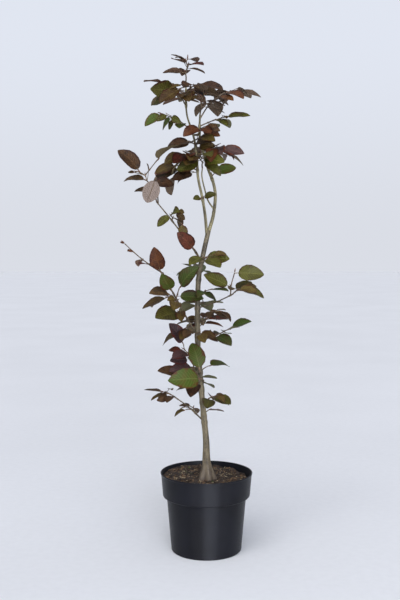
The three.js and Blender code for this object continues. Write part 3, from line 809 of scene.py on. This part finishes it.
def leafGroup():
    # Veins and midrib, a coloured margin, blotches and a paler underside, on the leaf's own map.
    group = patternGroup("leafPattern", {**dict.fromkeys(tintParts, anyColour), **leafSurface})
    given, calc = group.given, group.calc
    place = group.axes(group.put("ShaderNodeUVMap", uv_map="leafMap"))
    across = calc("ABSOLUTE", calc("MULTIPLY_ADD", place["Y"], 2.0, -1.0))
    slant = group.product(across, given["veinSlant"])
    count = group.product(place["X"], calc("ADD", given["veinPairs"], 2.0))
    wave = calc("FRACT", calc("ADD", calc("SUBTRACT", count, slant), 4.0))
    ridge = group.product(calc("ABSOLUTE", calc("SUBTRACT", wave, 0.5)), 2.0)
    side = group.product(group.ramp(ridge, 0.72, 1.0), group.ramp(across, 0.95, 0.7))
    vein = calc("MAXIMUM", side, group.ramp(across, 0.1, 0.02))
    solid = group.put(coordinates).outputs["Object"]
    blotch = group.ramp(group.noise(solid, given["blotchScale"], 3.0), 0.46, 0.62)
    colour = group.mix(blotch, given["upper"], given["blotch"])
    edge = calc("ADD", across, group.ramp(group.noise(solid, 90.0), 0.3, 0.7, -0.2, 0.25))
    colour = group.mix(group.ramp(edge, 0.72, 1.05), colour, given["margin"])
    colour = group.mix(group.product(vein, 0.38), colour, given["vein"])
    shade = group.put("ShaderNodeAttribute", attribute_name="shade").outputs["Fac"]
    value = calc("MULTIPLY_ADD", shade, given["variation"], 1.0)
    hue = calc("MULTIPLY_ADD", shade, 0.014, 0.5)
    colour = group.put("ShaderNodeHueSaturation", hue, 1.08, value, 1.0, colour)
    under = group.put("ShaderNodeAttribute", attribute_name="under").outputs["Fac"]
    below = group.mix(group.product(vein, 0.5), given["under"], given["upper"])
    rough = group.ramp(group.noise(solid, 200.0), 0.2, 0.8, given["gloss"], 0.56)
    rough = group.put("ShaderNodeMix", under, rough, 0.75)
    raised = calc("MULTIPLY_ADD", under, 2.0, -1.0)
    height = group.product(calc("ADD", vein, group.product(ridge, 0.6)), raised)
    return finishPattern(group, group.mix(under, colour, below), rough, height)


mottle = mottleGroup()
leafPattern = leafGroup()


def linear(code):
    # A colour written as #rrggbb, as the linear values that sockets take.
    parts = [int(code[i:i + 2], 16) / 255 for i in (1, 3, 5)]
    return (*((part / 12.92 if part < 0.04045 else ((part + 0.055) / 1.055) ** 2.4) for part in parts), 1.0)


def newMaterial(name, group, bump, place=None, sockets=(), **values):
    # One Principled shader on a pattern group. bump is its relief's strength and depth in metres.
    material = bpy.data.materials.new(name)
    material.use_nodes = True
    tree = Tree(material.node_tree)
    shader = tree.tree.nodes["Principled BSDF"]
    pattern = tree.put("ShaderNodeGroup", node_tree=group)
    if place:
        source = tree.put("ShaderNodeAttribute", attribute_name=place).outputs["Vector"]
    else:
        source = tree.put(coordinates).outputs["Object"]
    if "place" in pattern.inputs:
        tree.feed(pattern.inputs["place"], source)
    for label, value in values.items():
        pattern.inputs[label].default_value = linear(value) if isinstance(value, str) else value
    relief = tree.put("ShaderNodeBump", named={
        "Strength": bump[0], "Distance": bump[1], "Height": pattern.outputs["Height"]})
    tree.feed(shader.inputs["Base Color"], pattern.outputs["Color"])
    tree.feed(shader.inputs["Roughness"], pattern.outputs["Roughness"])
    tree.feed(shader.inputs["Normal"], relief)
    for label, value in dict(sockets).items():
        shader.inputs[label].default_value = value
    return material


def mottled(name, dark, light, broad, fine, rough, bump, **more):
    # A finish in two colours. broad and fine are its noises' scales, rough its least and most roughness.
    return newMaterial(name, mottle, bump, dark=dark, light=light, broad=broad, fine=fine,
                       leastRough=rough[0], mostRough=rough[1], **more)


# Limbs with their bark's relief


def relief():
    # Lengthwise ridges, fine grain and the raised rings of bud scars. barkPlace is in millimetres.
    group = newGeometryGroup("barkRelief", {
        "ridge": 0.4, "grain": 0.15, "scarRise": 0.3, "scarEvery": 80.0, "scarWidth": 2.2})
    given, calc = group.given, group.calc
    place = group.read("barkPlace", "FLOAT_VECTOR")
    ridges = calc("SUBTRACT", group.noise(place, 0.35, 3.0), 0.5)
    grain = calc("SUBTRACT", group.noise(place, 1.3), 0.5)
    turn = calc("DIVIDE", group.read("along"), given["scarEvery"])
    apart = calc("ABSOLUTE", calc("SUBTRACT", calc("FRACT", turn), 0.5))
    apart = group.product(apart, given["scarEvery"])
    scar = group.ramp(apart, given["scarWidth"], 0.0, 0.0, given["scarRise"])
    ripple = calc("MULTIPLY_ADD", calc("COSINE", group.product(apart, 4.5)), 0.4, 0.6)
    rise = calc("MULTIPLY_ADD", grain, given["grain"], group.product(ridges, given["ridge"]))
    rise = group.product(calc("MULTIPLY_ADD", scar, ripple, rise), mm)
    offset = group.vec("SCALE", group.put("GeometryNodeInputNormal"), rise)
    return finishGroup(group, group.move(given["geometry"], offset))


def knotsOn(name):
    # Where shoots part from a limb.
    path = limbs[name]["path"]
    shoots = [*limbs.values(), *sprays.values()]
    return [path.point(shoot["at"]) for shoot in shoots
            if shoot.get("on") == name and shoot["at"] < bark["knotsTo"]]


def fineLimb(name, limb):
    path = limb["path"]
    knots = knotsOn(name)
    thin = bark["thin"].get(name, bark["thinBough"])
    marks = [path.point(i / bark["measure"]) for i in range(bark["measure"] + 1)]
    length = sum((after - before).length for before, after in zip(marks, marks[1:]))
    steps = round(length / bark["step"])
    sides = max(bark["leastSides"], round(2 * math.pi * limb["radius"][0] / bark["girth"]))
    rings = []
    places = []
    alongs = []

    def addRing(share, further, size):
        tangent = up if name == "trunk" and share == 0 else path.tangent(share)
        centre = path.point(share) + tangent * further
        along = share * length + further
        knot = sum(bark["knotRise"] * math.exp(-((centre - one).length / bark["knotReach"]) ** 2)
                   for one in knots)
        knot = min(knot, bark["knotMost"])
        radiusAt = lambda angle: (limbRadius(name, share, angle, centre.z) * thin + knot) * size
        rings.append(ringAt(centre, tangent, right, sides, radiusAt))
        for angle in anglesOf(sides):
            x, y = radiusAt(angle) * math.cos(angle), radiusAt(angle) * math.sin(angle)
            places.append(Vector((x, y, along / bark["stretch"])))
            alongs.append(along)

    if name == "right_leader":
        addRing(0, *bark["sunk"])
    for i in range(steps + 1):
        addRing(i / steps, 0, 1)
    for further, size in bark["tip"]:
        addRing(1, further * limb["radius"][1], size)
    points, faces = closedSkin(rings)
    places += [sum(places[:sides], Vector()) / sides, sum(places[-sides:], Vector()) / sides]
    alongs += [0, length]
    return newMesh(name, points, faces=faces, barkPlace=places, along=alongs)


def barkMaterial(name, dark, light, softness, **foot):
    return mottled(name, dark, light, 0.13, 1.0, (0.5, 0.75), (0.5, 0.0004), place="barkPlace",
                   fineShare=0.45, softness=softness, **foot)


leaderBark = barkMaterial("leaderBark", "#423b28", "#928863", 0.16)
trunkBark = barkMaterial(
    "trunkBark", "#31291b", "#7a6e54", 0.14, foot="#544740", footShare=0.9, footReach=34.0)
boughBark = barkMaterial("boughBark", "#30261b", "#6d5e44", 0.16)
barkRelief = relief()
for name, limb in limbs.items():
    skin = trunkBark if name == "trunk" else leaderBark if name.endswith("leader") else boughBark
    piece = newPiece(f"{name}_bark", fineLimb(name, limb))
    share = min(1, limb["radius"][0] / limbs["trunk"]["radius"][0] + bark["leastRelief"])
    reliefs = {key: bark[key] * share for key in ("ridge", "grain", "scarRise")}
    growByNodes(piece, barkRelief, material=skin, scarEvery=bark["scarEvery"], **reliefs)
    smooth(piece.data)
    settle(piece, [name])
print("limbs", len(limbs))

# Twigs and leaf stalks

wood = {
    "twigSides": 7, "stalkSides": 5, "nodeRise": 0.35, "twigSteps": 3, "sink": 1.5,
    "plainLeaf": 46,  # length of the leaf that these radii are for
    "stalk": (0.95, 0.62, 0.6),
    "midrib": ((0.12, 0.5), (0.3, 0.4), (0.5, 0.3), (0.7, 0.2), (0.86, 0.1)),  # shares and radii
    "midribDrop": 0.55,
}


def rodGroup():
    # Sweeps a round section along edges, as thick as their points say.
    group = newGeometryGroup("rods", {"sides": 6})
    curve = group.put("GeometryNodeMeshToCurve", group.given["geometry"])
    rod = group.sweep(curve, group.read("thick"), group.given["sides"], True)
    return finishGroup(group, group.put("GeometryNodeSetShadeSmooth", rod))


def rodsPiece(name, ways, sides, material):
    # ways lists rods as lists of points with their radii.
    points = []
    edges = []
    thick = []
    for way in ways:
        edges += [(len(points) + i, len(points) + i + 1) for i in range(len(way) - 1)]
        points += [point for point, _ in way]
        thick += [radius * mm for _, radius in way]
    piece = newPiece(name, newMesh(name, points, edges, thick=thick))
    return growByNodes(piece, rods, sides=sides, material=material)


def twigWay(one):
    stops = twigStops(one)
    points = [point for point, _, _ in stops]
    if one.main and one.radius == twig["radius"]:
        points[0] = points[0] - one.path.tangent(0) * wood["sink"]
    path = Way(points)
    spans = len(points) - 1
    way = []
    for i in range(spans * wood["twigSteps"] + 1):
        share = i / (spans * wood["twigSteps"])
        before = min(int(share * spans), spans - 1)
        radius = blend((stops[before][2], stops[before + 1][2]), share * spans - before)
        isNode = i % wood["twigSteps"] == 0 and i > wood["twigSteps"]
        way.append((path.point(share), radius + (wood["nodeRise"] * radius if isNode else 0)))
    return way


def stalkWay(leaf):
    # From inside the twig and along the blade's underside as its midrib.
    size = leaf.length / wood["plainLeaf"]
    spots = (leaf.root, leaf.root.lerp(leaf.base, 0.5), leaf.base)
    way = [(spot, radius * size) for spot, radius in zip(spots, wood["stalk"])]
    for u, radius in wood["midrib"]:
        way.append((bladePoint(leaf, u, 0, -wood["midribDrop"] * radius * size), radius * size))
    return way


rods = rodGroup()
allTwigs = [one for spray in kept.values() for one in spray.twigs]
allLeaves = [leaf for spray in kept.values() for leaf in spray.leaves]
shootBark = mottled("shootBark", "#3d2f25", "#6d5a40", 90.0, 700.0, (0.4, 0.65), (0.4, 0.0003))
stalkSkin = mottled("stalkSkin", "#4a3326", "#7d6a45", 70.0, 500.0, (0.4, 0.6), (0.3, 0.0002))
twigPiece = rodsPiece("twigs", [twigWay(one) for one in allTwigs], wood["twigSides"], shootBark)
stalkPiece = rodsPiece("leaf_stalks", [stalkWay(leaf) for leaf in allLeaves], wood["stalkSides"], stalkSkin)
settle(twigPiece, names)
settle(stalkPiece, names)

# Buds

bud = {"length": (6.5, 9.5), "spread": 34, "jitter": 8, "rise": 0.2, "tipLength": 11, "out": 0.4}


def budGroup():
    # A slender pointed bud of overlapping scales at each point, along its axis.
    group = newGeometryGroup("buds", {"width": 0.13, "sides": 6, "rings": 8})
    given, calc = group.given, group.calc
    line = group.put("GeometryNodeCurvePrimitiveLine", named={"Start": (0, 0, 0), "End": (0, 0, 1)})
    line = group.put("GeometryNodeResampleCurve", named={"Curve": line, "Count": given["rings"]})
    along = group.put("GeometryNodeSplineParameter").outputs["Factor"]
    bulge = calc("SINE", group.product(calc("POWER", along, 0.75), math.pi))
    scales = calc("MULTIPLY_ADD", calc("FRACT", group.product(along, 3.5)), -0.16, 1.0)
    radius = calc("MAXIMUM", group.product(bulge, scales, given["width"]), 0.0)
    shape = group.sweep(line, radius, given["sides"], False)
    shape = group.put("GeometryNodeMergeByDistance", shape, None, 0.001)
    axis = group.read("axis", "FLOAT_VECTOR")
    turned = group.put("FunctionNodeAlignRotationToVector", None, None, axis, axis="Z")
    size = group.read("size")
    copies = group.put("GeometryNodeInstanceOnPoints", given["geometry"], None, shape, None, None, turned,
                       size)
    real = group.put("GeometryNodeRealizeInstances", copies)
    return finishGroup(group, group.put("GeometryNodeSetShadeSmooth", real))


budRoll = dice(len(names) + 2)
budPoints = []
budAxes = []
budSizes = []
for one in allTwigs:
    for node in one.nodes:
        spread = math.radians(bud["spread"] + budRoll(bud["jitter"]))
        length = blend(bud["length"], drawShare(budRoll))
        axis = (parting(node, spread, node.hand) + up * bud["rise"]).normalized()
        if node.last:
            axis = node.tangent.normalized()
            length = bud["tipLength"]
        budPoints.append(node.point + axis * bud["out"])
        budAxes.append(axis)
        budSizes.append(length * (one.radius[1] / twig["radius"][1]) * mm)
budPiece = newPiece("buds", newMesh("buds", budPoints, axis=budAxes, size=budSizes))
budScales = mottled("budScales", "#3f2418", "#7a4d30", 300.0, 1500.0, (0.35, 0.55), (0.4, 0.0002))
growByNodes(budPiece, budGroup(), material=budScales)
settle(budPiece, names)
print("twigs", len(allTwigs), "buds", len(budPoints))

# Leaf blades

fineBlade = {"merge": 0.000002, "sharp": 1.5}
bladeSizes = {
    "cellsAlong": 8, "cellsAcross": 4, "thickness": 0.008, "fold": math.radians(blade["fold"]),
    **{key: blade[key] for key in ("halfWidth", "baseRound", "tipRound", "wave")},
}


def bladeGroup():
    # A closed blade of two sheets at each point, by the rule of bladePoint.
    group = newGeometryGroup("leafBlades", bladeSizes)
    given, calc, product, vec = group.given, group.calc, group.product, group.vec

    def shapeOf(x):
        return product(calc("POWER", x, given["baseRound"]),
                       calc("POWER", calc("SUBTRACT", 1.0, x), given["tipRound"]))

    cells = [calc("ADD", given[label], 1) for label in ("cellsAlong", "cellsAcross")]
    grid = group.put("GeometryNodeMeshGrid", 1.0, 2.0, *cells)
    position = group.put("GeometryNodeInputPosition")
    place = group.axes(position)
    angle = product(calc("ADD", place["X"], 0.5), math.pi)
    sheet = group.store(grid.outputs["Mesh"], "u", calc("MULTIPLY_ADD", calc("COSINE", angle), -0.5, 0.5))
    sheet = group.store(sheet, "v", place["Y"])
    points = group.store(given["geometry"], "base", position, "FLOAT_VECTOR")
    copies = group.put("GeometryNodeInstanceOnPoints", points, None, sheet)
    real = group.put("GeometryNodeRealizeInstances", copies)
    u, v, length, bend, phase = (group.read(label) for label in ("u", "v", "length", "bend", "phase"))
    base, axis, face, side = (
        group.read(label, "FLOAT_VECTOR") for label in ("base", "axis", "face", "side"))
    toMap = group.vector(u, calc("MULTIPLY_ADD", v, 0.5, 0.5), 0.0)
    real = group.store(real, "leafMap", toMap, "FLOAT2", "CORNER")
    bent = product(bend, u)
    perBend = calc("DIVIDE", length, bend)
    normal = vec("ADD", vec("SCALE", face, calc("COSINE", bent)), vec("SCALE", axis, calc("SINE", bent)))
    widest = calc("DIVIDE", given["baseRound"], calc("ADD", given["baseRound"], given["tipRound"]))
    shape = calc("DIVIDE", shapeOf(u), shapeOf(widest))
    half = product(given["halfWidth"], length, shape)
    ripples, crossRipples = blade["ripples"]
    ripple = calc("ADD", calc("MULTIPLY_ADD", u, ripples, phase), product(v, crossRipples))
    wave = product(v, v, calc("SINE", ripple), product(given["wave"], length, shape))
    rise = calc("MULTIPLY_ADD", product(calc("ABSOLUTE", v), half), calc("SINE", given["fold"]), wave)
    middle = vec("ADD", base, vec("SCALE", axis, product(calc("SINE", bent), perBend)))
    drop = product(calc("SUBTRACT", calc("COSINE", bent), 1.0), perBend)
    middle = vec("ADD", middle, vec("SCALE", face, drop))
    middle = vec("ADD", middle, vec("SCALE", side, product(v, half, calc("COSINE", given["fold"]))))
    thick = product(calc("SUBTRACT", 1.0, product(v, v)), product(given["thickness"], length, shape))
    sheets = []
    for under, flip in ((0.0, 0.5), (1.0, -0.5)):
        spot = vec("ADD", middle, vec("SCALE", normal, calc("MULTIPLY_ADD", thick, flip, rise)))
        moved = group.put("GeometryNodeSetPosition", real, None, spot)
        if not under:
            moved = group.put("GeometryNodeFlipFaces", moved)
        sheets.append(group.store(moved, "under", under, domain="FACE"))
    both = group.put("GeometryNodeJoinGeometry")
    for sheet in reversed(sheets):
        group.feed(both.inputs["Geometry"], sheet)
    closed = group.put("GeometryNodeMergeByDistance", both, None, fineBlade["merge"])
    closed = group.put("GeometryNodeSetShadeSmooth", closed)
    between = group.put("GeometryNodeInputMeshEdgeAngle").outputs["Unsigned Angle"]
    sharp = calc("GREATER_THAN", between, fineBlade["sharp"])
    return finishGroup(group, group.put("GeometryNodeSetShadeSmooth", closed, sharp, False, domain="EDGE"))


# The plain colours dealt out to the sprays: a family, and a colour for each of tintParts.
tints = {
    "russet": ("bronze", "#542f22", "#402519", "#311a13", "#714a33", "#775d4b"),
    "chestnut": ("bronze", "#5a3a24", "#43291a", "#3a1f16", "#775638", "#7c6552"),
    "umber": ("bronze", "#433020", "#2f2218", "#2e1a13", "#624b33", "#6c5a49"),
    "plum": ("bronze", "#43302f", "#2f2224", "#4f241a", "#664e49", "#7d6f66"),
    "oliveBrown": ("bronze", "#4b3c20", "#3d2c1a", "#3b2016", "#6f5f3a", "#716449"),
    "olive": ("olive", "#47451d", "#3a3617", "#3a2416", "#6f6c3c", "#6f6e50"),
    "leafGreen": ("olive", "#3d481b", "#45431c", "#482a19", "#626c3a", "#6c7552"),
    "darkGreen": ("olive", "#344019", "#3b3a1c", "#332015", "#5f693c", "#666c4c"),
}
blades = bladeGroup()
shadeRoll = dice(len(names) + 3)
for tint, (family, *codes) in tints.items():
    owners = [name for name in names if any(leaf.tint == tint for leaf in kept[name].leaves)]
    leaves = [leaf for name in owners for leaf in kept[name].leaves if leaf.tint == tint]
    material = newMaterial(f"{tint}Leaf", leafPattern, (0.5, 0.0005), sockets={"Specular IOR Level": 0.2},
                           **dict(zip(tintParts, codes)))
    traits = {key: [getattr(leaf, key) for leaf in leaves]
              for key in ("bend", "phase", "axis", "face", "side")}
    mesh = newMesh(tint, [leaf.base for leaf in leaves], length=[leaf.length * mm for leaf in leaves],
                   shade=[shadeRoll(1) for _ in leaves], **traits)
    piece = newPiece(f"leaves_{tint}", mesh)
    growByNodes(piece, blades, material=material, **bladeSizes)
    settle(piece, owners)
    print("leaves", tint, len(leaves))

# Pot

pot = {
    "rimRadius": 100, "bandHeight": 52, "bandFootRadius": 95, "neckRadius": 86.5, "footRadius": 76.5,
    "wall": 1.6, "lip": 1.2, "chamfer": 2, "holeRadius": 6, "holeRing": 58, "holes": 6,
    "holeSides": 24, "holeDepth": 5, "sides": 128, "round": 1.6, "roundSteps": 3, "roundMost": 0.45,
    "middle": 4, "sharp": 50,
}
collarFoot = potTop - pot["bandHeight"]
potInside = [
    (pot["footRadius"] - pot["chamfer"] - pot["wall"], pot["wall"]),
    (pot["footRadius"] - pot["wall"], pot["wall"] + pot["chamfer"]),
    (pot["neckRadius"] - pot["wall"], collarFoot + pot["chamfer"]),
    (pot["bandFootRadius"] - pot["wall"], collarFoot + 2 * pot["chamfer"]),
]
potMouth = pot["rimRadius"] - pot["lip"] - pot["wall"]


def rounded(corners):
    # An outline with each inner corner turned into an arc.
    corners = [Vector((r, 0, z)) for r, z in corners]
    result = [corners[0]]
    for before, corner, after in zip(corners, corners[1:], corners[2:]):
        start, end = (corner.lerp(other, min(pot["roundMost"], pot["round"] / (other - corner).length))
                      for other in (before, after))
        for k in range(pot["roundSteps"] + 1):
            t = k / pot["roundSteps"]
            result.append(start.lerp(corner, t).lerp(corner.lerp(end, t), t))
    return [*result, corners[-1]]


def lathe(profile, sides):
    return [[Vector((point.x * math.cos(angle), point.x * math.sin(angle), point.z))
             for angle in anglesOf(sides)] for point in profile]


def potMesh():
    chamfer, lip, wall = pot["chamfer"], pot["lip"], pot["wall"]
    profile = [
        (pot["middle"], 0), (pot["footRadius"] - chamfer, 0), (pot["footRadius"], chamfer),
        (pot["neckRadius"], collarFoot - chamfer), (pot["bandFootRadius"] - chamfer, collarFoot),
        (pot["bandFootRadius"], collarFoot + chamfer), (pot["rimRadius"] - lip, potTop - 3 * lip),
        (pot["rimRadius"], potTop - 2 * lip), (pot["rimRadius"], potTop), (potMouth, potTop),
        *reversed(potInside), (pot["middle"], wall),
    ]
    points, faces = closedSkin(lathe(rounded(profile), pot["sides"]))
    return newMesh("pot", points, faces=faces)


def drillHoles(piece):
    points = []
    faces = []
    for i in range(pot["holes"]):
        angle = 2 * math.pi * (i + 0.5) / pot["holes"]
        centre = Vector((math.cos(angle), math.sin(angle), 0)) * pot["holeRing"]
        rings = [ringAt(centre + up * z, up, right, pot["holeSides"], lambda _: pot["holeRadius"])
                 for z in (-pot["holeDepth"], pot["holeDepth"])]
        holePoints, holeFaces = closedSkin(rings)
        faces += [tuple(corner + len(points) for corner in face) for face in holeFaces]
        points += holePoints
    cutter = newPiece("cutter", newMesh("cutter", points, faces=faces))
    modifier = piece.modifiers.new("holes", "BOOLEAN")
    modifier.operation = "DIFFERENCE"
    modifier.object = cutter
    modifier.solver = "EXACT"
    bpy.context.view_layer.update()
    piece.data = bpy.data.meshes.new_from_object(piece.evaluated_get(bpy.context.evaluated_depsgraph_get()))
    piece.modifiers.remove(modifier)
    bpy.data.objects.remove(cutter)


plastic = mottled(
    "blackPlastic", "#0c0c11", "#15161d", 14.0, 420.0, (0.38, 0.48), (0.12, 0.0003), fineShare=0.25,
    sockets={"Specular IOR Level": 0.3, "Anisotropic": 1.0, "Anisotropic Rotation": 0.25})
potPiece = newPiece("nursery_pot", potMesh())
drillHoles(potPiece)
smooth(potPiece.data)
potPiece.data.set_sharp_from_angle(angle=math.radians(pot["sharp"]))
settle(potPiece, ["pot"], plastic)
print("pot", len(potPiece.data.polygons))

# Compost

compost = {
    "level": compostLevel, "lowest": 143, "inset": 0.7, "hump": 2, "humpRadius": 34, "fall": 5, "rise": 8,
    "lumps": 1.6, "lumpWidths": (9, 11, 6, 15), "rings": 30, "sides": 110, "crumb": 1.3, "crumbScale": 0.16,
}


def compostHeight(x, y):
    heap = compost["hump"] * (math.exp(-(x * x + y * y) / compost["humpRadius"] ** 2) - 1)
    slope = (compost["rise"] * y - compost["fall"] * x) / pot["rimRadius"]
    a, b, c, d = compost["lumpWidths"]
    lumps = math.sin(x / a + 1) * math.cos(y / b) + math.sin(y / c - x / d)
    return compost["level"] + heap + slope + compost["lumps"] * lumps


shoulder, shoulderHeight = potInside[-1]
depth = (compost["lowest"] - shoulderHeight) / (potTop - shoulderHeight)
compostEdge = blend((shoulder, potMouth), depth) - compost["inset"]


def compostMesh():
    profile = [Vector((r - compost["inset"], 0, z + clearance)) for r, z in potInside]
    rings = lathe(profile, compost["sides"])
    for k in range(compost["rings"]):
        radius = compostEdge * (1 - k / compost["rings"])
        ring = []
        for angle in anglesOf(compost["sides"]):
            x, y = radius * math.cos(angle), radius * math.sin(angle)
            crumb = noise.noise(Vector((x, y, 0)) * compost["crumbScale"]) * compost["crumb"]
            ring.append(Vector((x, y, compostHeight(x, y) + crumb)))
        rings.append(ring)
    points, faces = closedSkin(rings)
    return newMesh("compost", points, faces=faces)


soil = mottled("compostSoil", "#1d1511", "#4a382b", 130.0, 900.0, (0.85, 1.0), (1.0, 0.0012))
soilPiece = newPiece("compost_body", compostMesh())
smooth(soilPiece.data)
settle(soilPiece, ["compost"], soil)


def chipGroup():
    # Rough chips scattered over the compost's upper side, in three shapes.
    group = newGeometryGroup("barkChips", {
        "density": 20000.0, "length": 0.011, "width": 0.005, "height": 0.003, "reach": 0.09, "seed": 1,
        "least": 0.4, "most": 1.0, "tilt": 0.5, "sink": 0.0005, "leastHeight": 0.14})
    given, calc, vec = group.given, group.calc, group.vec
    normal = group.axes(group.put("GeometryNodeInputNormal"))
    position = group.put("GeometryNodeInputPosition")
    place = group.axes(position)
    away = vec("LENGTH", group.vector(place["X"], place["Y"], 0.0)).outputs["Value"]
    isTop = group.product(calc("GREATER_THAN", normal["Z"], 0.5),
                          calc("GREATER_THAN", place["Z"], given["leastHeight"]),
                          calc("LESS_THAN", away, given["reach"]))
    top = group.put("GeometryNodeSeparateGeometry", given["geometry"], isTop, domain="FACE")
    spots = group.put("GeometryNodeDistributePointsOnFaces", top, None, given["density"], given["seed"])
    size = group.vector(given["length"], given["width"], given["height"])
    kinds = group.put("GeometryNodeJoinGeometry")
    for k in range(3):
        chip = group.put("GeometryNodeMeshCube", size, 4, 3, 2)
        jag = group.noise(vec("ADD", position, (0.1 * k, 0.3, 0.7)), 330.0).outputs["Color"]
        jag = vec("MULTIPLY", vec("SUBTRACT", jag, (0.5, 0.5, 0.5)), vec("SCALE", size, 1.5))
        chip = group.move(chip.outputs["Mesh"], jag)
        group.feed(kinds.inputs["Geometry"], group.put("GeometryNodeGeometryToInstance", chip))
    turn = group.random((-1, -1, -3.14), (1, 1, 3.14), given["seed"], "FLOAT_VECTOR")
    turn = vec("MULTIPLY", turn, group.vector(given["tilt"], given["tilt"], 1.0))
    turn = group.put("FunctionNodeEulerToRotation", turn)
    scale = group.random(given["least"], given["most"], calc("ADD", given["seed"], 1))
    pick = group.random(0, 2, given["seed"], "INT")
    copies = group.put("GeometryNodeInstanceOnPoints", spots.outputs["Points"], None, kinds, True, pick,
                       turn, scale)
    sunk = group.vector(0.0, 0.0, group.product(given["sink"], -1.0))
    return finishGroup(group, group.put("GeometryNodeTranslateInstances", copies, None, sunk, False))


chipEdge = 0.45  # share of a chip's length that it keeps from the wall

# What lies on the compost: pieces a square metre, length, width and height in metres, seed, colours.
chips = {
    "bark_chips_dark": (26000.0, 0.011, 0.0055, 0.003, 3, "#1d1613", "#41342b"),
    "bark_chips_brown": (15000.0, 0.010, 0.005, 0.0026, 11, "#43311f", "#755b42"),
    "wood_splinters": (7000.0, 0.013, 0.002, 0.0016, 23, "#6e5f49", "#a3957a"),
    "compost_crumbs": (60000.0, 0.0036, 0.0032, 0.0026, 31, "#1b1410", "#4f3f31"),
    "moss_tufts": (2600.0, 0.0045, 0.004, 0.0026, 41, "#2d3518", "#59632f"),
    "perlite_bits": (1100.0, 0.0038, 0.0034, 0.003, 53, "#b9b6a8", "#dedbcc"),
}
chipNodes = chipGroup()
for label, (density, length, width, height, seed, dark, light) in chips.items():
    piece = newPiece(label, soilPiece.data.copy())
    finish = mottled(f"{label}Finish", dark, light, 60.0, 700.0, (0.7, 0.95), (0.8, 0.0006))
    growByNodes(piece, chipNodes, material=finish, density=density, length=length, width=width,
                height=height, seed=seed, reach=compostEdge * mm - chipEdge * length)
    settle(piece, ["compost"])
    print(label, len(piece.data.polygons))

# Camera, floor and light

view = {"place": (-0.014, -1.820, 0.643), "pitch": 3.05, "lens": 50.64, "height": 36}
floorReach = 30
# Linear colours: the backdrop at the horizon and above it, and the light from the side and from above.
# A soft panel low in front is many times as strong. Its rim is given as cosines.
surround = {
    "horizon": (0.70, 0.725, 0.79, 1), "sky": (0.75, 0.79, 0.88, 1),
    "side": (0.19, 0.2, 0.225, 1), "above": (0.42, 0.44, 0.49, 1),
    "skyFrom": 0.25, "aboveFrom": 0.8,
    "panelAxis": (0.2, -0.975, 0.06), "panelRim": (0.88, 0.97), "panelStrength": 40.0,
}
softSun = {"energy": 1.25, "angle": 40, "tilt": 38, "turn": -24}
fill = {"place": (1.8, -1.6, 1.2), "target": (0, 0, 0.5), "size": (1.2, 1.6), "watts": 8}


def place(name, data, spot=(0, 0, 0), turn=(0, 0, 0)):
    holder = bpy.data.objects.new(name, data)
    holder.location = spot
    holder.rotation_euler = turn
    scene.collection.objects.link(holder)
    return holder


def studioWorld():
    # A pale backdrop, and a dimmer light that comes mostly from above.
    world = bpy.data.worlds.new("studio")
    world.use_nodes = True
    tree = Tree(world.node_tree)
    direction = tree.put(coordinates).outputs["Generated"]
    height = tree.axes(direction)["Z"]
    seen = tree.mix(tree.ramp(height, 0.0, surround["skyFrom"]), surround["horizon"], surround["sky"])
    light = tree.mix(tree.ramp(height, 0.0, surround["aboveFrom"]), surround["side"], surround["above"])
    facing = tree.vec("DOT_PRODUCT", direction, surround["panelAxis"]).outputs["Value"]
    strength = tree.ramp(facing, *surround["panelRim"], 1.0, surround["panelStrength"])
    lit = tree.put("ShaderNodeBackground", light, strength)
    backdrop = tree.put("ShaderNodeBackground", seen, 1.0)
    toCamera = tree.put("ShaderNodeLightPath").outputs["Is Camera Ray"]
    both = tree.put("ShaderNodeMixShader", toCamera, lit, backdrop)
    tree.feed(tree.tree.nodes["World Output"].inputs["Surface"], both)
    return world


lens = bpy.data.cameras.new("camera")
lens.sensor_fit = "VERTICAL"
lens.sensor_height = view["height"]
lens.lens = view["lens"]
scene.camera = place("camera", lens, view["place"], (math.radians(90 - view["pitch"]), 0, 0))

floorMesh = bpy.data.meshes.new("floor")
corners = [(x * floorReach, y * floorReach, 0) for x, y in ((-1, -1), (1, -1), (1, 1), (-1, 1))]
floorMesh.from_pydata(corners, [], [(0, 1, 2, 3)])
floorMesh.materials.append(mottled(
    "paleFloor", "#e6e7ea", "#ebecef", 1.5, 60.0, (0.75, 0.85), (0.05, 0.0005),
    sockets={"Specular IOR Level": 0.0}))
floor = newPiece("floor", floorMesh)

scene.world = studioWorld()
scene.view_settings.view_transform = "Standard"
sun = bpy.data.lights.new("softSun", "SUN")
sun.energy = softSun["energy"]
sun.angle = math.radians(softSun["angle"])
place("softSun", sun, turn=(math.radians(softSun["tilt"]), 0, math.radians(softSun["turn"])))
lamp = bpy.data.lights.new("fill", "AREA")
lamp.shape = "RECTANGLE"
lamp.size, lamp.size_y = fill["size"]
lamp.energy = fill["watts"]
aim = Vector(fill["target"]) - Vector(fill["place"])
place("fill", lamp, fill["place"], aim.to_track_quat("-Z", "Y").to_euler())

print("finished")
